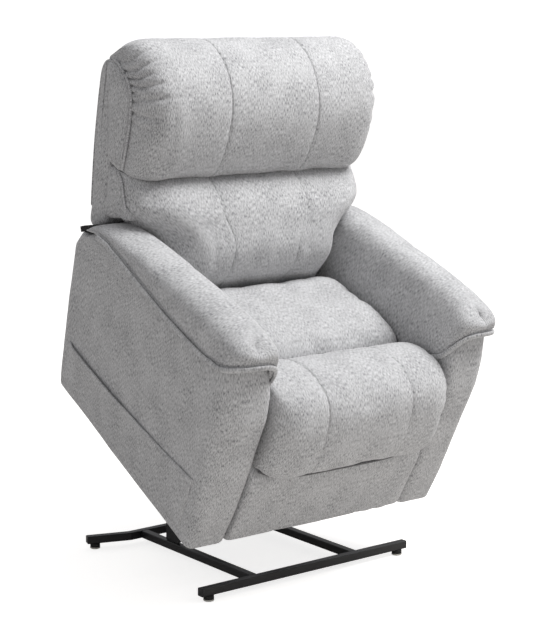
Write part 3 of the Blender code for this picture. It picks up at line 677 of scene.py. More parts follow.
# %% Arm bodies
def build_arm(name, side):
    """One arm. side is 1 for the sitter's left and -1 for the right."""
    levels = np.concatenate([np.linspace(0.0, FOOT_ROUND, 5), np.linspace(0.022, ARM_TOP - 0.06, 44),
                             np.linspace(ARM_TOP - 0.05, ARM_TOP, 10)])
    rows = []
    for w in levels:
        tuck = FOOT_ROUND * (1 - (1 - (1 - min(w / FOOT_ROUND, 1.0)) ** 2) ** 0.5)
        close = 0.022 * max(0.0, (w - 0.48) / 0.05) ** 2
        x0 = ARM_IN + tuck * 0.5 + 0.035 * max(0.0, (w - SHOULDER) / 0.08) ** 2
        x1 = ARM_OUT + ARM_FLARE * w - tuck - close
        v0, v1 = line_at(FRONT_LINE, w) + tuck, line_at(REAR_LINE, w) - tuck
        corner = np.interp(w, (0.0, 0.10, 0.28, 0.50), (0.018, 0.030, 0.050, 0.050))
        loop = resample(rounded_rectangle(x0, x1, v0, v1, (0.024, corner, 0.018, 0.008)), 260)
        rows.append(np.column_stack([loop[:, 0] * side, loop[:, 1], np.full(len(loop), w)]))
    grid = np.array(rows)
    normals = grid_normals(grid)
    inside = np.abs(grid[..., 0]) < ARM_IN + 0.004
    belly = 0.007 * np.sin(pi * np.clip(grid[..., 2] / 0.50, 0, 1)) ** 0.7 * np.sin(
        pi * np.clip(grid[..., 1] / 0.72, 0.02, 1)) ** 0.5
    amount = belly + 0.0016 * soft_noise(grid, 0.13, 3 + side) + 0.0007 * soft_noise(grid, 0.05, 9 + side)
    amount[inside] = 0.0
    grid += normals * amount[..., None]
    ceiling = np.interp(grid[..., 1], *zip(*PAD_TOP)) - PAD_CLEARANCE
    above = np.maximum(grid[..., 2] - SHOULDER, 0.0)
    grid[..., 2] += above * ((ceiling - SHOULDER) / (ARM_TOP - SHOULDER) - 1)
    replaced = ["left_arm"] if side > 0 else ["right_arm"]
    made = loft(name, grid, TWEED, "chair_frame", replaced, bulge=0.0, ends="w", upright=True)
    return grid


left_grid = build_arm("left_arm_upholstery", 1)
right_grid = build_arm("right_arm_upholstery", -1)
print("arm grids", left_grid.shape, right_grid.shape)

# %% [markdown]
# ## Arm pads
# A thick pad saddles each arm. Its edge is a flat sewn band that runs low along the outside, round under the
# nose and down the inside to the seat. A saddle has three guide lines: the outer rim, the ridge and the
# inner rim. Straight along the arm they share the same v, and at the nose each turns its own corner, so the
# sections between them fan round the front. The cover is longer than the band at the nose, so it is gathered
# there.

# %% Pad guide lines
NOSE_V = 0.125                        # in front of this the sections start to fan
PAD_REAR = 0.716
PAD_INNER_X, RIDGE_X = 0.2838, 0.352  # x of the inner rim and of the ridge, straight along the arm
RIM_OVERHANG = 0.0045                 # how far the outer rim stands out from the arm below it
OUTER_RIM = [(0.120, 0.508), (0.165, 0.502), (0.229, 0.497), (0.324, 0.493), (0.436, 0.496), (0.533, 0.498),
             (0.620, 0.500), (0.680, 0.490), (0.716, 0.474)]
INNER_RIM = [(0.120, 0.425), (0.160, 0.400), (0.240, 0.380), (0.400, 0.370), (0.560, 0.340), (0.738, 0.330)]
OUTER_NOSE = [(0.4265, 0.125, 0.508), (0.4265, 0.092, 0.514), (0.421, 0.066, 0.526), (0.410, 0.049, 0.538),
              (0.392, 0.039, 0.545), (0.362, 0.035, 0.548)]
INNER_NOSE = [(0.2838, 0.125, 0.425), (0.2838, 0.095, 0.440), (0.2845, 0.070, 0.462), (0.288, 0.054, 0.490),
              (0.297, 0.044, 0.518), (0.312, 0.039, 0.536), (0.335, 0.036, 0.545), (0.362, 0.035, 0.548)]
RIDGE_NOSE = [(0.352, 0.125, 0.6055), (0.352, 0.108, 0.603), (0.354, 0.092, 0.598), (0.358, 0.078, 0.590),
              (0.361, 0.066, 0.581)]


def even_curve(points, count):
    return catmull(np.array(points), count, False)


def quarter(rim, ridge, bulge, power, count):
    """A rounded quarter from a rim point up to the ridge, bulging outward past the rim."""
    turned = np.linspace(0, pi / 2, count)
    flat = 1 - np.maximum(np.cos(turned), 0) ** (2 / power)
    rise = np.sin(turned) ** (2 / power)
    curve = rim + (ridge - rim) * np.stack([flat, flat, rise], axis=1)
    outward = (rim - ridge) * np.array([1.0, 1.0, 0.0])
    outward /= max(np.linalg.norm(outward), 1e-6)
    return curve + outward * (bulge * np.sin(pi * turned / (pi / 2)) ** 2)[:, None]


print("nose curves", len(OUTER_NOSE), "outer,", len(INNER_NOSE), "inner,", len(RIDGE_NOSE), "ridge points")

# %% [markdown]
# ## The pad covers and their bands
# Each section goes up from the outer rim, over the ridge, down to the inner rim and back underneath. Gathers
# are ripples across the cover that fade out above the band. The band is a flat tube that follows both rims,
# which reads as a folded strip of cloth and is simpler than modelling the fold.

# %% Arm pads
HALF_COLUMNS, RETURN_COLUMNS, FAN = 44, 26, 110
BAND = 0.008                          # height of the sewn band above the rim
CROSS_SEAM = 0.400                    # v where a seam runs over the pad
GATHER_PITCH, GATHER_DEPTH = 0.0085, 0.0028     # metres from one gather to the next, and their depth
BLEND_ROWS = 4                        # last rows of the nose, where the two sides meet
CORE_X = 0.355                        # where the underside of the cover meets in the middle of the arm


def build_pad(name, side):
    """One pad cover, and the path of its band. side is 1 for the sitter's left and -1 for the right."""
    straight = np.concatenate([np.linspace(PAD_REAR, CROSS_SEAM + 0.016, 34),
                               CROSS_SEAM + np.linspace(0.014, -0.014, 15),
                               np.linspace(CROSS_SEAM - 0.016, NOSE_V, 32)[:-1]])
    rim_height = np.interp(straight, *zip(*OUTER_RIM))
    outer = np.column_stack([ARM_OUT + RIM_OVERHANG + ARM_FLARE * rim_height, straight, rim_height])
    inner = np.column_stack([np.full(len(straight), PAD_INNER_X), straight,
                             np.interp(straight, *zip(*INNER_RIM))])
    ridge = np.column_stack([np.full(len(straight), RIDGE_X), straight,
                             np.interp(straight, *zip(*PAD_TOP))])
    outer = np.vstack([outer, even_curve(OUTER_NOSE, FAN)])
    inner = np.vstack([inner, even_curve(INNER_NOSE, FAN)])
    ridge = np.vstack([ridge, even_curve(RIDGE_NOSE, FAN)])
    rows = []
    for k, (o, i, r) in enumerate(zip(outer, inner, ridge)):
        turn = smoothstep(k, len(outer) - FAN, len(outer) - 12)
        over = np.vstack([quarter(o, r, 0.008 - 0.001 * turn, 2.3 + 0.2 * turn, HALF_COLUMNS),
                          quarter(i, r, 0.003 + 0.004 * turn, 2.9 - 0.4 * turn, HALF_COLUMNS)[::-1][1:]])
        core = np.array([CORE_X, max(r[1], 0.085) + 0.004, o[2] + 0.004])
        inside = np.array([i + (core - i) * (0.16, 0.16, 0),
                           i * (1, 1, 0) + (core - i) * (0.18, 0.18, 0)
                           + np.array([0, 0, min(o[2] - 0.01, i[2] + 0.08)]),
                           core, o + (core - o) * (0.3, 0.3, 0.5)])
        back = catmull(np.vstack([i[None], inside, o[None]]), RETURN_COLUMNS + 2, False)[1:-1]
        rows.append(np.vstack([over, back]))
    grid = np.array(rows)
    shown = 2 * HALF_COLUMNS - 1
    normals = grid_normals(grid)
    for k in range(1, BLEND_ROWS + 1):              # in the last row the normal has no x left
        normals[-k] = normals[-BLEND_ROWS - 1] * ((k - 1) / BLEND_ROWS, 1, 1)
    outer_arc = np.concatenate([[0], np.cumsum(np.linalg.norm(np.diff(outer, axis=0), axis=1))])
    inner_length = np.concatenate([[0], np.cumsum(np.linalg.norm(np.diff(inner, axis=0), axis=1))])
    inner_arc = outer_arc[-1] * 2 - inner_length
    on_outer = np.arange(shown)[None] < HALF_COLUMNS
    rim_arc = np.where(on_outer, outer_arc[:, None], inner_arc[:, None])
    height = grid[:, :shown, 2] - np.where(on_outer, outer[:, None, 2], inner[:, None, 2])
    nose = smoothstep(rim_arc, outer_arc[-1] - 0.065, outer_arc[-1] - 0.045)
    nose *= 1 - smoothstep(rim_arc, outer_arc[-1] + 0.045, outer_arc[-1] + 0.065)
    phase = 2 * pi * rim_arc / GATHER_PITCH + 1.5 * np.sin(rim_arc * 140)
    gathers = GATHER_DEPTH * np.sin(phase) * nose * smoothstep(height, BAND * 0.7, BAND * 1.3) * np.exp(
        -np.maximum(height - BAND, 0) / 0.015)
    stitch_line = 0.0038 * np.exp(-((height - BAND) / 0.0026) ** 2)
    v = grid[:, :shown, 1]
    across = np.abs(v - CROSS_SEAM)
    cross_seam = 0.0026 * np.exp(-across / 0.0028) + 0.0015 * np.exp(-(across / 0.014) ** 2)
    plump = np.sin(np.linspace(0, pi, shown))[None] ** 0.4
    lumps = 0.0018 * soft_noise(grid, 0.08, 21 + side) + 0.0007 * soft_noise(grid, 0.03, 31 + side)
    amount = np.zeros(grid.shape[:2])
    amount[:, :shown] = lumps[:, :shown] * plump + gathers - stitch_line - cross_seam * plump
    grid += normals * amount[..., None]
    grid[..., 0] *= side
    replaced = ["left_arm_pad"] if side > 0 else ["right_arm_pad"]
    made = loft(name, grid, TWEED, "chair_frame", replaced, bulge=0.002, ends="v")
    edges = []
    for edge in (outer, inner):
        outward = (edge - ridge) * (1, 1, 0)
        outward /= np.linalg.norm(outward, axis=1, keepdims=True)
        edges.append(edge + 0.0042 * outward - (0, 0, 0.001))
    rim = np.vstack([edges[0][6:], edges[1][::-1][1:FAN - 8]]) * (side, 1, 1)
    return made, rim


for side, label in ((1, "left"), (-1, "right")):
    made, rim = build_pad(f"{label}_arm_pad_cover", side)
    tube(f"{label}_arm_pad_band", rim, 0.0038, TWEED, "chair_frame", sides=12, flat=1.8, level=(0, 0, 1))
    print(made.name, len(made.data.vertices), "points")

# %% [markdown]
# ## Seat, bolster and front panel
# The seat is a wide low cushion with soft edges. In front of it lies the bolster of the footrest, which rolls
# over the front edge, and below that the flat front panel. Two seams run down the bolster and go on down the
# panel. All three come from the same cushion function, with their own sections.

# %% Seat cushion
SEAT_MIDDLE = [(0.222, 0.306), (0.204, 0.350), (0.212, 0.402), (0.260, 0.424), (0.340, 0.427), (0.430, 0.414),
               (0.500, 0.400), (0.535, 0.376), (0.532, 0.330), (0.505, 0.303), (0.360, 0.303)]
SEAT_END = [(0.232, 0.306), (0.214, 0.345), (0.222, 0.384), (0.262, 0.400), (0.340, 0.398), (0.430, 0.384),
            (0.490, 0.370), (0.520, 0.350), (0.520, 0.325), (0.500, 0.306), (0.360, 0.306)]
seat, seat_grid = cushion("seat_cushion_cover", SEAT_MIDDLE, SEAT_END, 0.2845, 0.050, "chair_frame",
                          ["seat_cushion"], crown=0.004, lumps=0.003, seed=2)
print(seat.name, len(seat.data.vertices), "points")

# %% [markdown]
# ## Bolster
# The bolster is the soft roll under the calves when the footrest is out. It is fullest in the middle and
# closes over a long way towards its ends, so the end section is smaller than the middle one.

# %% Bolster
PANEL_SEAM = 0.135                    # x of the two seams, on the bolster and on the panel
BOLSTER_MIDDLE = [(0.006, 0.222), (-0.030, 0.231), (-0.048, 0.278), (-0.040, 0.375), (-0.008, 0.436),
                  (0.055, 0.460), (0.125, 0.452), (0.175, 0.430), (0.196, 0.400), (0.186, 0.350),
                  (0.110, 0.338), (0.054, 0.320), (0.048, 0.235), (0.028, 0.220)]
BOLSTER_END = [(0.026, 0.250), (0.010, 0.262), (-0.002, 0.310), (0.002, 0.375), (0.022, 0.418),
               (0.062, 0.444), (0.125, 0.438), (0.172, 0.418), (0.190, 0.394), (0.182, 0.355),
               (0.110, 0.342), (0.058, 0.322), (0.050, 0.262), (0.038, 0.250)]
bolster, bolster_grid = cushion("footrest_bolster_cover", BOLSTER_MIDDLE, BOLSTER_END, 0.2735, 0.085,
                                "footrest", ["footrest_bolster"], seams=(-PANEL_SEAM, PANEL_SEAM),
                                crown=0.001, valley=0.0028, lumps=0.002, seed=4, power=2.3)
print(bolster.name, len(bolster.data.vertices), "points")

# %% [markdown]
# ## Front panel
# The panel is a board under thin wadding, so it is nearly flat. Cloth that spans a board is never quite
# tight, and the loose end of it is given a few soft upright folds.

# %% Front panel
PANEL_MIDDLE = [(0.012, 0.006), (0.000, 0.020), (-0.003, 0.110), (-0.004, 0.195), (0.014, 0.226),
                (0.044, 0.236), (0.051, 0.120), (0.048, 0.010)]
PANEL_END = [(0.016, 0.006), (0.006, 0.020), (0.005, 0.110), (0.008, 0.200), (0.020, 0.234),
             (0.044, 0.244), (0.051, 0.120), (0.048, 0.010)]


def panel_pleats(grid):
    """Soft upright folds near the left end of the front panel, where the cover is loose."""
    x = grid[..., 0]
    folds = 0.0018 * np.sin((x - 0.160 - 0.10 * (grid[..., 2] - 0.1)) / 0.027 * pi)
    folds = folds * smoothstep(x, 0.15, 0.18) * (1 - smoothstep(x, 0.24, 0.27))
    low = 0.6 + 0.4 * smoothstep(grid[..., 2], 0.02, 0.15)
    return folds * low * (grid[..., 1] < 0.02)


panel, _ = cushion("footrest_panel_cover", PANEL_MIDDLE, PANEL_END, 0.2815, 0.020, "footrest",
                   ["footrest_panel"], seams=(-PANEL_SEAM, PANEL_SEAM), crown=0.001, valley=0.0022,
                   lumps=0.0015, seed=6, columns=90, gathers=panel_pleats)
print(panel.name, len(panel.data.vertices), "points")

# %% [markdown]
# ## Painted shade in the crevice
# Where the bolster rests on the panel there is a dark line of shade. The round crevice between the two pale
# covers comes out too light on its own, so a thin strip of dark grey cloth stands in it as painted shade, to
# deepen the line. It is an addition for the look, and not known to be a piece of the real chair.

# %% Crevice strip
CREVICE_HALF, CREVICE_V, CREVICE_W = 0.262, -0.0115, 0.2090
# This dark grey cloth is painted shade. It stands for the shadow in the crevice, not for a cloth of the
# chair.
CREVICE_SHADE_CLOTH = tweed("painted_crevice_shade_cloth", "#424243", "#646465", "#7a7a7b")
crevice = []
for x in np.linspace(-CREVICE_HALF, CREVICE_HALF, 60):
    near_end = (abs(x) / CREVICE_HALF) ** 5         # the strip turns in and up at its ends
    crevice.append((x, CREVICE_V + 0.020 * near_end, CREVICE_W + 0.022 * near_end))
# A thin tube of the painted-shade cloth, laid in the crevice under the bolster.
strip = tube("painted_crevice_shade_strip", crevice, 0.0036, CREVICE_SHADE_CLOTH, "footrest")
print(strip.name, "runs from", -CREVICE_HALF, "to", CREVICE_HALF)

# %% [markdown]
# ## Back
# The back has a headrest and a lumbar cushion, each in three panels. The headrest closes towards its ends by
# a long rounding and meets a flat side panel at a sewn edge. The cover is longer than that edge, so the maker
# gathers it at the top corners, and short folds run in from the seam.

# %% Headrest
BACK_SEAM = 0.140                     # x of the two seams that part each cushion into three panels
HEAD_MIDDLE = [(0.742, 0.652), (0.690, 0.640), (0.650, 0.664), (0.633, 0.722), (0.640, 0.815), (0.666, 0.878),
               (0.717, 0.928), (0.790, 0.955), (0.850, 0.950), (0.898, 0.906), (0.868, 0.838), (0.800, 0.724)]
HEAD_END = [(0.745, 0.660), (0.726, 0.650), (0.712, 0.660), (0.728, 0.708), (0.742, 0.770), (0.762, 0.826),
            (0.790, 0.858), (0.828, 0.876), (0.868, 0.884), (0.900, 0.872), (0.866, 0.820), (0.800, 0.724)]
HEAD_HALF = 0.368
GATHER_CENTRE = (0.86, 0.76)          # v, w of the point that the corner folds turn about


def corner_gathers(grid):
    """Folds that run inward from the end seam around the upper front corner, some long and some short."""
    x, v, w = np.abs(grid[..., 0]), grid[..., 1], grid[..., 2]
    inward = HEAD_HALF - x
    turned = np.arctan2(w - GATHER_CENTRE[1], GATHER_CENTRE[0] - v)
    folds = 0.5 - 1.5 * (1 - np.abs(np.sin(turned * 17 + 0.7 * np.sin(turned * 7)))) ** 1.5
    reach = 0.018 + 0.026 * (0.5 + 0.5 * np.sin(turned * 11 + 0.7))
    where = smoothstep(turned, 0.0, 0.35) * (1 - smoothstep(turned, 1.2, 1.6)) * (v < 0.88)
    return 0.0060 * folds * where * np.exp(-(inward / reach) ** 2)


head, head_grid = cushion("headrest_cover", HEAD_MIDDLE, HEAD_END, HEAD_HALF, 0.085, "backrest",
                          ["headrest_cushion"], seams=(-BACK_SEAM, BACK_SEAM), crown=0.0005, valley=0.0026,
                          lumps=0.002, seed=8, columns=260, gathers=corner_gathers, power=2.8,
                          end_reach=0.06)
print(head.name, len(head.data.vertices), "points")

# %% [markdown]
# ## Lumbar cushion
# The lower cushion has to pass between the arm pads, yet above them it is about as wide as the headrest. One
# set of sections serves, and each height is then scaled to the width that it has room for.

# %% Lumbar cushion
LUMBAR_MIDDLE = [(0.590, 0.322), (0.560, 0.345), (0.530, 0.400), (0.506, 0.465), (0.510, 0.515),
                 (0.540, 0.568), (0.584, 0.622), (0.640, 0.648), (0.700, 0.650), (0.740, 0.632),
                 (0.690, 0.500), (0.640, 0.380)]
LUMBAR_END = [(0.606, 0.330), (0.588, 0.352), (0.580, 0.400), (0.586, 0.465), (0.604, 0.520), (0.634, 0.553),
              (0.672, 0.590), (0.706, 0.628), (0.728, 0.642), (0.752, 0.632), (0.700, 0.500), (0.645, 0.380)]
LUMBAR_NARROW, LUMBAR_WIDE = 0.2740, 0.372      # half widths between the arms and above them


def lumbar_width(v, w):
    """Narrow between the arms, wide above them. The step slopes up to the front, as the tops of the pads do
    not leave room lower down."""
    swept = smoothstep(w - 0.5 * (0.62 - v), 0.470, 0.610)
    return LUMBAR_NARROW + (LUMBAR_WIDE - LUMBAR_NARROW) * swept


lumbar, lumbar_grid = cushion("lumbar_cover", LUMBAR_MIDDLE, LUMBAR_END, LUMBAR_WIDE, 0.130, "backrest",
                              ["lumbar_cushion"], seams=(-BACK_SEAM, BACK_SEAM), crown=0.0005, valley=0.0024,
                              lumps=0.002, seed=12, columns=190, widths=lumbar_width, power=1.8)
print(lumbar.name, len(lumbar.data.vertices), "points")

# %% [markdown]
# ## Side panels of the back
# Each side of the back is two pads sewn side by side: a narrow boxing strip that closes the cushion, and the
# side of the shell behind it. Where their round edges meet there is a deep line.

# %% Boxing strips and shell sides
HEAD_BOXING = [(0.720, 0.650), (0.730, 0.708), (0.744, 0.770), (0.764, 0.826), (0.792, 0.857), (0.830, 0.873),
               (0.872, 0.878), (0.892, 0.858), (0.884, 0.828), (0.862, 0.795), (0.822, 0.722), (0.782, 0.646),
               (0.752, 0.640)]
LUMBAR_BOXING = [(0.638, 0.556), (0.674, 0.590), (0.708, 0.628), (0.730, 0.640), (0.762, 0.636),
                 (0.766, 0.610), (0.750, 0.562), (0.734, 0.510), (0.706, 0.515), (0.672, 0.536)]
WING = [(0.724, 0.494), (0.778, 0.446), (0.808, 0.509), (0.840, 0.590), (0.868, 0.662), (0.893, 0.742),
        (0.913, 0.806), (0.915, 0.842), (0.902, 0.866), (0.888, 0.852), (0.880, 0.828), (0.858, 0.794),
        (0.818, 0.720), (0.780, 0.645), (0.764, 0.612), (0.748, 0.560)]


def side_pad(name, outline, side, inner, outer, rounding, body, replaced=(), crown=0.004, seed=41):
    """A flat pad on one side of the back, with round outer edges and a crowned face."""
    ring = resample(catmull(outline, 200, True), 150)
    centre = ring.mean(axis=0)
    rows = []
    for x in np.concatenate([np.linspace(inner, outer - rounding, 8),
                             outer - rounding + rounding * np.sin(np.linspace(0.08, pi / 2, 12))]):
        t = min(1.0, max(0.0, (x - (outer - rounding)) / rounding))
        pull = rounding * (1 - (1 - t ** 2) ** 0.5)
        tangent = np.roll(ring, -1, axis=0) - np.roll(ring, 1, axis=0)
        normal = np.column_stack([tangent[:, 1], -tangent[:, 0]])
        normal /= np.linalg.norm(normal, axis=1, keepdims=True)
        normal *= np.sign(((ring - centre) * normal).sum())
        section = ring - normal * pull
        rows.append(np.column_stack([np.full(len(section), x * side), section]))
    grid = np.array(rows)
    grid += grid_normals(grid) * (0.0008 * soft_noise(grid, 0.05, seed + side))[..., None]
    made = loft(name, grid, TWEED, body, replaced, bulge=crown)
    return made


for side, label in ((1, "left"), (-1, "right")):
    side_pad(f"{label}_back_wing_cover", WING, side, 0.262, 0.3735, 0.013, "backrest",
             [f"{label}_back_wing"], crown=0.003)
    side_pad(f"{label}_headrest_boxing", HEAD_BOXING, side, 0.330, 0.3810, 0.018, "backrest", crown=0.006)
    side_pad(f"{label}_lumbar_boxing", LUMBAR_BOXING, side, 0.330, 0.3790, 0.015, "backrest", crown=0.005)
    head_seam = even_curve([(0.3725 * side, v - 0.003, w + 0.001) for v, w in HEAD_BOXING[:8]], 120)
    tube(f"{label}_headrest_welt", head_seam, 0.0034, TWEED, "backrest")
    lumbar_seam = even_curve([(0.3745 * side, v - 0.003, w) for v, w in LUMBAR_BOXING[:4]], 50)[7:]
    tube(f"{label}_lumbar_welt", lumbar_seam, 0.0030, TWEED, "backrest")
    print(label, "side: welts of", len(head_seam), "and", len(lumbar_seam), "points")

# %% [markdown]
# ## Hinge boots
# A short black flap stands where the back swings past the top of each arm. It is part of a ring about the
# recline hinge, so the back can turn along it without cutting into it. It is an assumption: something dark
# sits there on one side, and a flap of lining is the plainest thing that it can be. The other side copies it.

# %% Hinge boots
def arc_about_hinge(radius, first, last, count):
    """Points of the side plane on a circle about the recline hinge, angles in degrees."""
    turned = np.radians(np.linspace(first, last, count))
    return [(RECLINE_PIVOT[0] + radius * cos(a), RECLINE_PIVOT[1] + radius * sin(a)) for a in turned]


BOOT_OUTER, BOOT_INNER = 0.2105, 0.1960         # radii about the hinge
BOOT_HIGH, BOOT_LOW = 66, 46                    # degrees
BOOT_X = (0.3815, 0.4120)
BOOT = (arc_about_hinge(BOOT_OUTER, BOOT_HIGH, BOOT_LOW, 12)
        + arc_about_hinge(BOOT_INNER, BOOT_LOW, BOOT_HIGH, 12))
for side, label in ((1, "left"), (-1, "right")):
    rows = [np.array([(x * side, v, w) for v, w in BOOT]) for x in np.linspace(*BOOT_X, 8)]
    boot = loft(f"{label}_hinge_boot", np.array(rows), LINING, "chair_frame", bulge=0.001)
    print(boot.name, len(boot.data.vertices), "points")

# %% [markdown]
# ## Back shell
# The rear of the back is a thin curved cover over its frame. It is drawn as one outline in the side plane,
# down the outside and back up the inside, and swept across the chair. Above the arms it is as wide as the
# back, and below them it has to be narrower to pass between.

# %% Back shell
BACK_OUTSIDE = [(0.892, 0.872), (0.908, 0.856), (0.914, 0.830), (0.903, 0.780), (0.890, 0.735),
                (0.866, 0.660), (0.840, 0.590), (0.808, 0.509), (0.778, 0.442), (0.750, 0.370),
                (0.726, 0.300), (0.717, 0.260), (0.705, 0.238)]
BACK_INSIDE = [(0.695, 0.245), (0.705, 0.264), (0.714, 0.304), (0.738, 0.374), (0.766, 0.447), (0.796, 0.514),
               (0.828, 0.594), (0.854, 0.664), (0.878, 0.738), (0.891, 0.785),
               (0.898, 0.832), (0.893, 0.852), (0.882, 0.866)]


BETWEEN_ARMS, ABOVE_ARMS = 0.2840, 0.372        # half widths
OUTSIDE_COLUMNS = 110


def build_back_panel():
    outline = np.vstack([catmull(BACK_OUTSIDE, OUTSIDE_COLUMNS, False), catmull(BACK_INSIDE, 60, False)])
    rows = []
    for x in stations(BETWEEN_ARMS, ()):
        rows.append(np.column_stack([np.full(len(outline), x), outline]))
    grid = np.array(rows)
    amount = np.zeros(grid.shape[:2])
    across = 1 - (np.abs(grid[:, :OUTSIDE_COLUMNS, 0]) / BETWEEN_ARMS) ** 4
    down = np.sin(np.linspace(0, pi, OUTSIDE_COLUMNS))[None] ** 0.7
    amount[:, :OUTSIDE_COLUMNS] = 0.006 * across * down
    amount += 0.0015 * soft_noise(grid, 0.12, 51)
    grid += grid_normals(grid) * amount[..., None]
    grid[..., 0] *= 1 + (ABOVE_ARMS / BETWEEN_ARMS - 1) * smoothstep(grid[..., 2], 0.462, 0.492)
    made = loft("back_panel_cover", grid, TWEED, "backrest", ["back_panel"], bulge=0.0)
    print(made.name, len(made.data.vertices), "points")


build_back_panel()

# %% [markdown]
# ## Side pocket
# A flat pocket is sewn on the right arm. Its hemmed mouth is closed at the front and gapes a little at the
# rear, where things go in. The arm bulges, so a flat sheet would sink into it. The pocket is laid on the
# finished surface of the arm instead, point by point.

# %% Side pocket
POCKET_MOUTH = [(0.055, 0.195), (0.153, 0.183), (0.262, 0.174), (0.408, 0.162), (0.675, 0.151)]
POCKET_FRONT, POCKET_REAR, POCKET_FOOT = 0.056, 0.672, 0.030
OUTER_FACE = 0.390                    # points of the arm further out than this are on its outer face


def arm_face(v, w):
    """X of the right arm's outer face, read off its finished grid."""
    points = right_grid.reshape(-1, 3)
    outer = points[points[:, 0] < -OUTER_FACE]
    level = np.abs(outer[:, 2] - w)
    near = outer[level < 0.012]
    order = np.argsort((near[:, 1] - v) ** 2 + (near[:, 2] - w) ** 2)[:6]
    return near[order, 0].mean()


def build_pocket():
    across, up, thick = 64, 26, 0.0035
    outer = np.empty((up, across, 3))
    for i, v in enumerate(np.linspace(POCKET_FRONT, POCKET_REAR, across)):
        mouth = np.interp(v, *zip(*POCKET_MOUTH))
        gape = 0.0060 * smoothstep(v, 0.12, 0.56) * (1 - 0.5 * smoothstep(v, 0.62, 0.672))
        for j, t in enumerate(np.linspace(0, 1, up)):
            w = POCKET_FOOT + (mouth - POCKET_FOOT) * t
            edge = min(1.0, (v - POCKET_FRONT) / 0.03, (POCKET_REAR - v) / 0.02, t / 0.15)
            hem = 0.0012 * (smoothstep(t, 0.86, 0.89))
            out = 0.0008 + (0.0024 + gape * t**3) * smoothstep(edge, 0, 1) + hem
            outer[j, i] = (arm_face(v, w) - out, v, w)
    inner = outer + np.array([thick, 0, 0])
    rows = []
    for i in range(across):
        rows.append(np.vstack([outer[:, i], inner[::-1, i]]))
    made = loft("right_pocket_cover", np.array(rows), TWEED, "chair_frame", ["right_pocket_panel"], bulge=0.0)
    print(made.name, len(made.data.vertices), "points")


build_pocket()

# %% [markdown]
# ## Filling the cushions
# The seat is one open panel and may rise the most. The bolster, headrest and lumbar cushion are quilted down
# by their seams, so they get less pressure and a smaller cap. Each is told where the frame or its neighbour
# hides it, since cloth that moved there would only run into what is behind.

# %% Stuff the cushions
SLACK = 0.02                          # how much larger the cover is cut than the shape
SEAT_PRESSURE, SOFT_PRESSURE = 3.0, 2.0
SEAT_CAP, SOFT_CAP = 0.007, 0.003     # the furthest that a point may travel, in metres
panel_seams, back_seams = (-PANEL_SEAM, PANEL_SEAM), (-BACK_SEAM, BACK_SEAM)
seat_sewn = sewn_points(seat_grid, (), lambda x, v, w: w < 0.345)
bolster_sewn = sewn_points(bolster_grid, panel_seams, lambda x, v, w: (v > 0.03) & (w < 0.36))
head_sewn = sewn_points(head_grid, back_seams,
                        lambda x, v, w: (v > 0.86 - 0.6 * (0.95 - w)) | (x > HEAD_HALF - 0.06))
lumbar_sewn = sewn_points(lumbar_grid, back_seams, lambda x, v, w: v > 0.60 + 0.42 * (w - 0.33))
stuff(seat, seat_sewn, SEAT_PRESSURE, SLACK, SEAT_CAP)
for piece, sewn in ((bolster, bolster_sewn), (head, head_sewn), (lumbar, lumbar_sewn)):
    stuff(piece, sewn, SOFT_PRESSURE, SLACK, SOFT_CAP)
run_stuffing()

# %% [markdown]
# ## Rear skirt
# A black spunbond skirt closes the rear between the arms and keeps the mechanism out of sight. It hangs
# nearly flat, so a thin sheet with two slow waves in it is enough, and needs no cloth run.

# %% Rear skirt
def build_skirt():
    rows = []
    for x in np.linspace(-BETWEEN_ARMS, BETWEEN_ARMS, 60):
        wave = 0.0015 * sin(x * 60) + 0.001 * sin(x * 23 + 1)
        outer = [(0.6985 + 0.008 * t + wave * sin(pi * t), 0.010 + 0.2 * t) for t in np.linspace(0, 1, 20)]
        inner = [(v - 0.003, w) for v, w in reversed(outer)]
        rows.append([(x, v, w) for v, w in outer + inner])
    made = loft("rear_skirt_cloth", np.array(rows), LINING, "chair_frame", ["rear_skirt"], bulge=0.0)
    print(made.name, len(made.data.vertices), "points")


build_skirt()

# %% [markdown]
# ## Plugs and glides
# The open ends of square tube get moulded plugs, and each rubber foot stands on a pale nylon glide. Both are
# small lofts, so that their edges can be rounded.

# %% Discs and sections
def to_chair(points):
    """World points (..., 3) as chair points, for a loft of something that stands on the floor."""
    return (np.asarray(points) - CHAIR_NP[:3, 3]) @ CHAIR_NP[:3, :3]


def disc(name, centre, axis, section, heights, material, body):
    """A short stack of rings about an axis; heights are (distance along the axis, scale of the section)."""
    axis = Vector(axis).normalized()
    upright = abs(axis.z) > 0.9
    side = axis.orthogonal().normalized() if upright else axis.cross(Vector((0, 0, 1))).normalized()
    up = axis.cross(side)
    rows = []
    for along, scale in heights:
        start = Vector(centre) + axis * along
        rows.append([start + side * a * scale + up * b * scale for a, b in section])
    grid = to_chair(np.array([[tuple(p) for p in row] for row in rows]))
    return loft(name, grid, material, body, bulge=0.0003, ends="w")


def square_section(half, radius):
    return [(a - half, b - half) for a, b in rounded_rectangle(0, 2 * half, 0, 2 * half, (radius,) * 4, 5)]


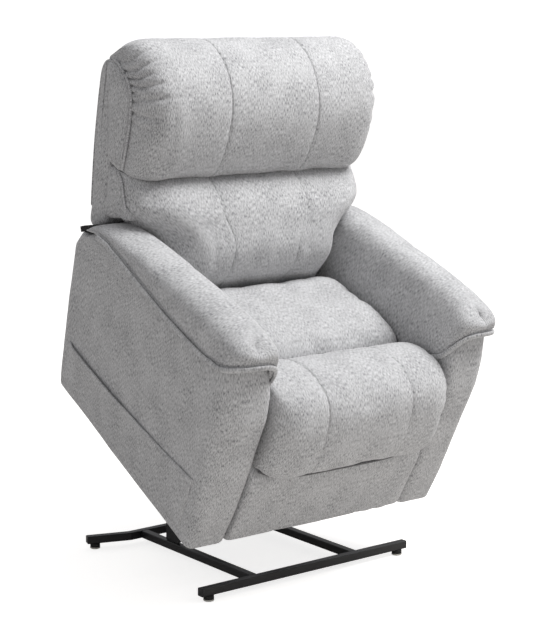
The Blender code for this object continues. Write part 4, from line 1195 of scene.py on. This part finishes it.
round_section = [(cos(2 * pi * k / 32), sin(2 * pi * k / 32)) for k in range(32)]
print("square section of", len(square_section(0.015, 0.003)), "points, round of", len(round_section))

# %% [markdown]
# ## Placing the plugs and glides
# Where each one goes, and how large it is, is read off the part it sits on, so it stays right if the frame
# is changed. The rings are a profile: a step along the axis, and how wide the section is there.

# %% Plugs and glides
GLIDE_RINGS = [(0.0005, 0.90), (0.0012, 1.02), (0.0035, 1.04), (0.0042, 1.0)]
PLUG_RINGS = [(-0.002, 0.98), (0.0, 1.0), (0.0018, 1.0), (0.0028, 0.93), (0.0030, 0.80)]
PLUG_ROUND, PLUG_LIP = 0.003, 0.0004  # corner radius, and how far the plug stands over the tube
for label in ("left", "right"):
    for place in ("front", "rear"):
        low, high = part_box(f"{label}_{place}_foot")
        radius = (high.x - low.x) / 2
        centre = ((low.x + high.x) / 2, (low.y + high.y) / 2, 0.0)
        foot_section = [(a * radius, b * radius) for a, b in round_section]
        disc(f"{label}_{place}_glide", centre, (0, 0, 1), foot_section, GLIDE_RINGS, GLIDE, "floor_base")
        print(label, place, "glide, radius", round(radius * 1000, 1), "mm")
low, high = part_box("front_floor_bar")
for side, label in ((1, "left"), (-1, "right")):
    centre = (side * high.x, (low.y + high.y) / 2, (low.z + high.z) / 2)
    half = (high.z - low.z) / 2
    disc(f"{label}_bar_plug", centre, (side, 0, 0), square_section(half + PLUG_LIP, PLUG_ROUND), PLUG_RINGS,
         PLASTIC, "floor_base")
    print(label, "plug in a tube of", round(half * 2000, 1), "mm")

# %% [markdown]
# ## Finishes of the steelwork
# The floor base, the links, the chassis and the actuators keep the shapes they came with. Each part of the
# frame names the kind of stuff it is made of, and that name picks its finish here, so none is left grey.

# %% Finishes of the CAD parts
FINISH_BY_SLOT = {"black_steel": POWDER_COAT, "zinc_steel": ZINC, "rubber": RUBBER, "black_plastic": PLASTIC,
                  "plywood": PLYWOOD, "lining": LINING, "upholstery": TWEED}
for part in frame["record"]["subparts"]:
    node = frame["nodes"][part["node"]]
    node.data.materials.clear()
    node.data.materials.append(FINISH_BY_SLOT[part["material_slot"]])
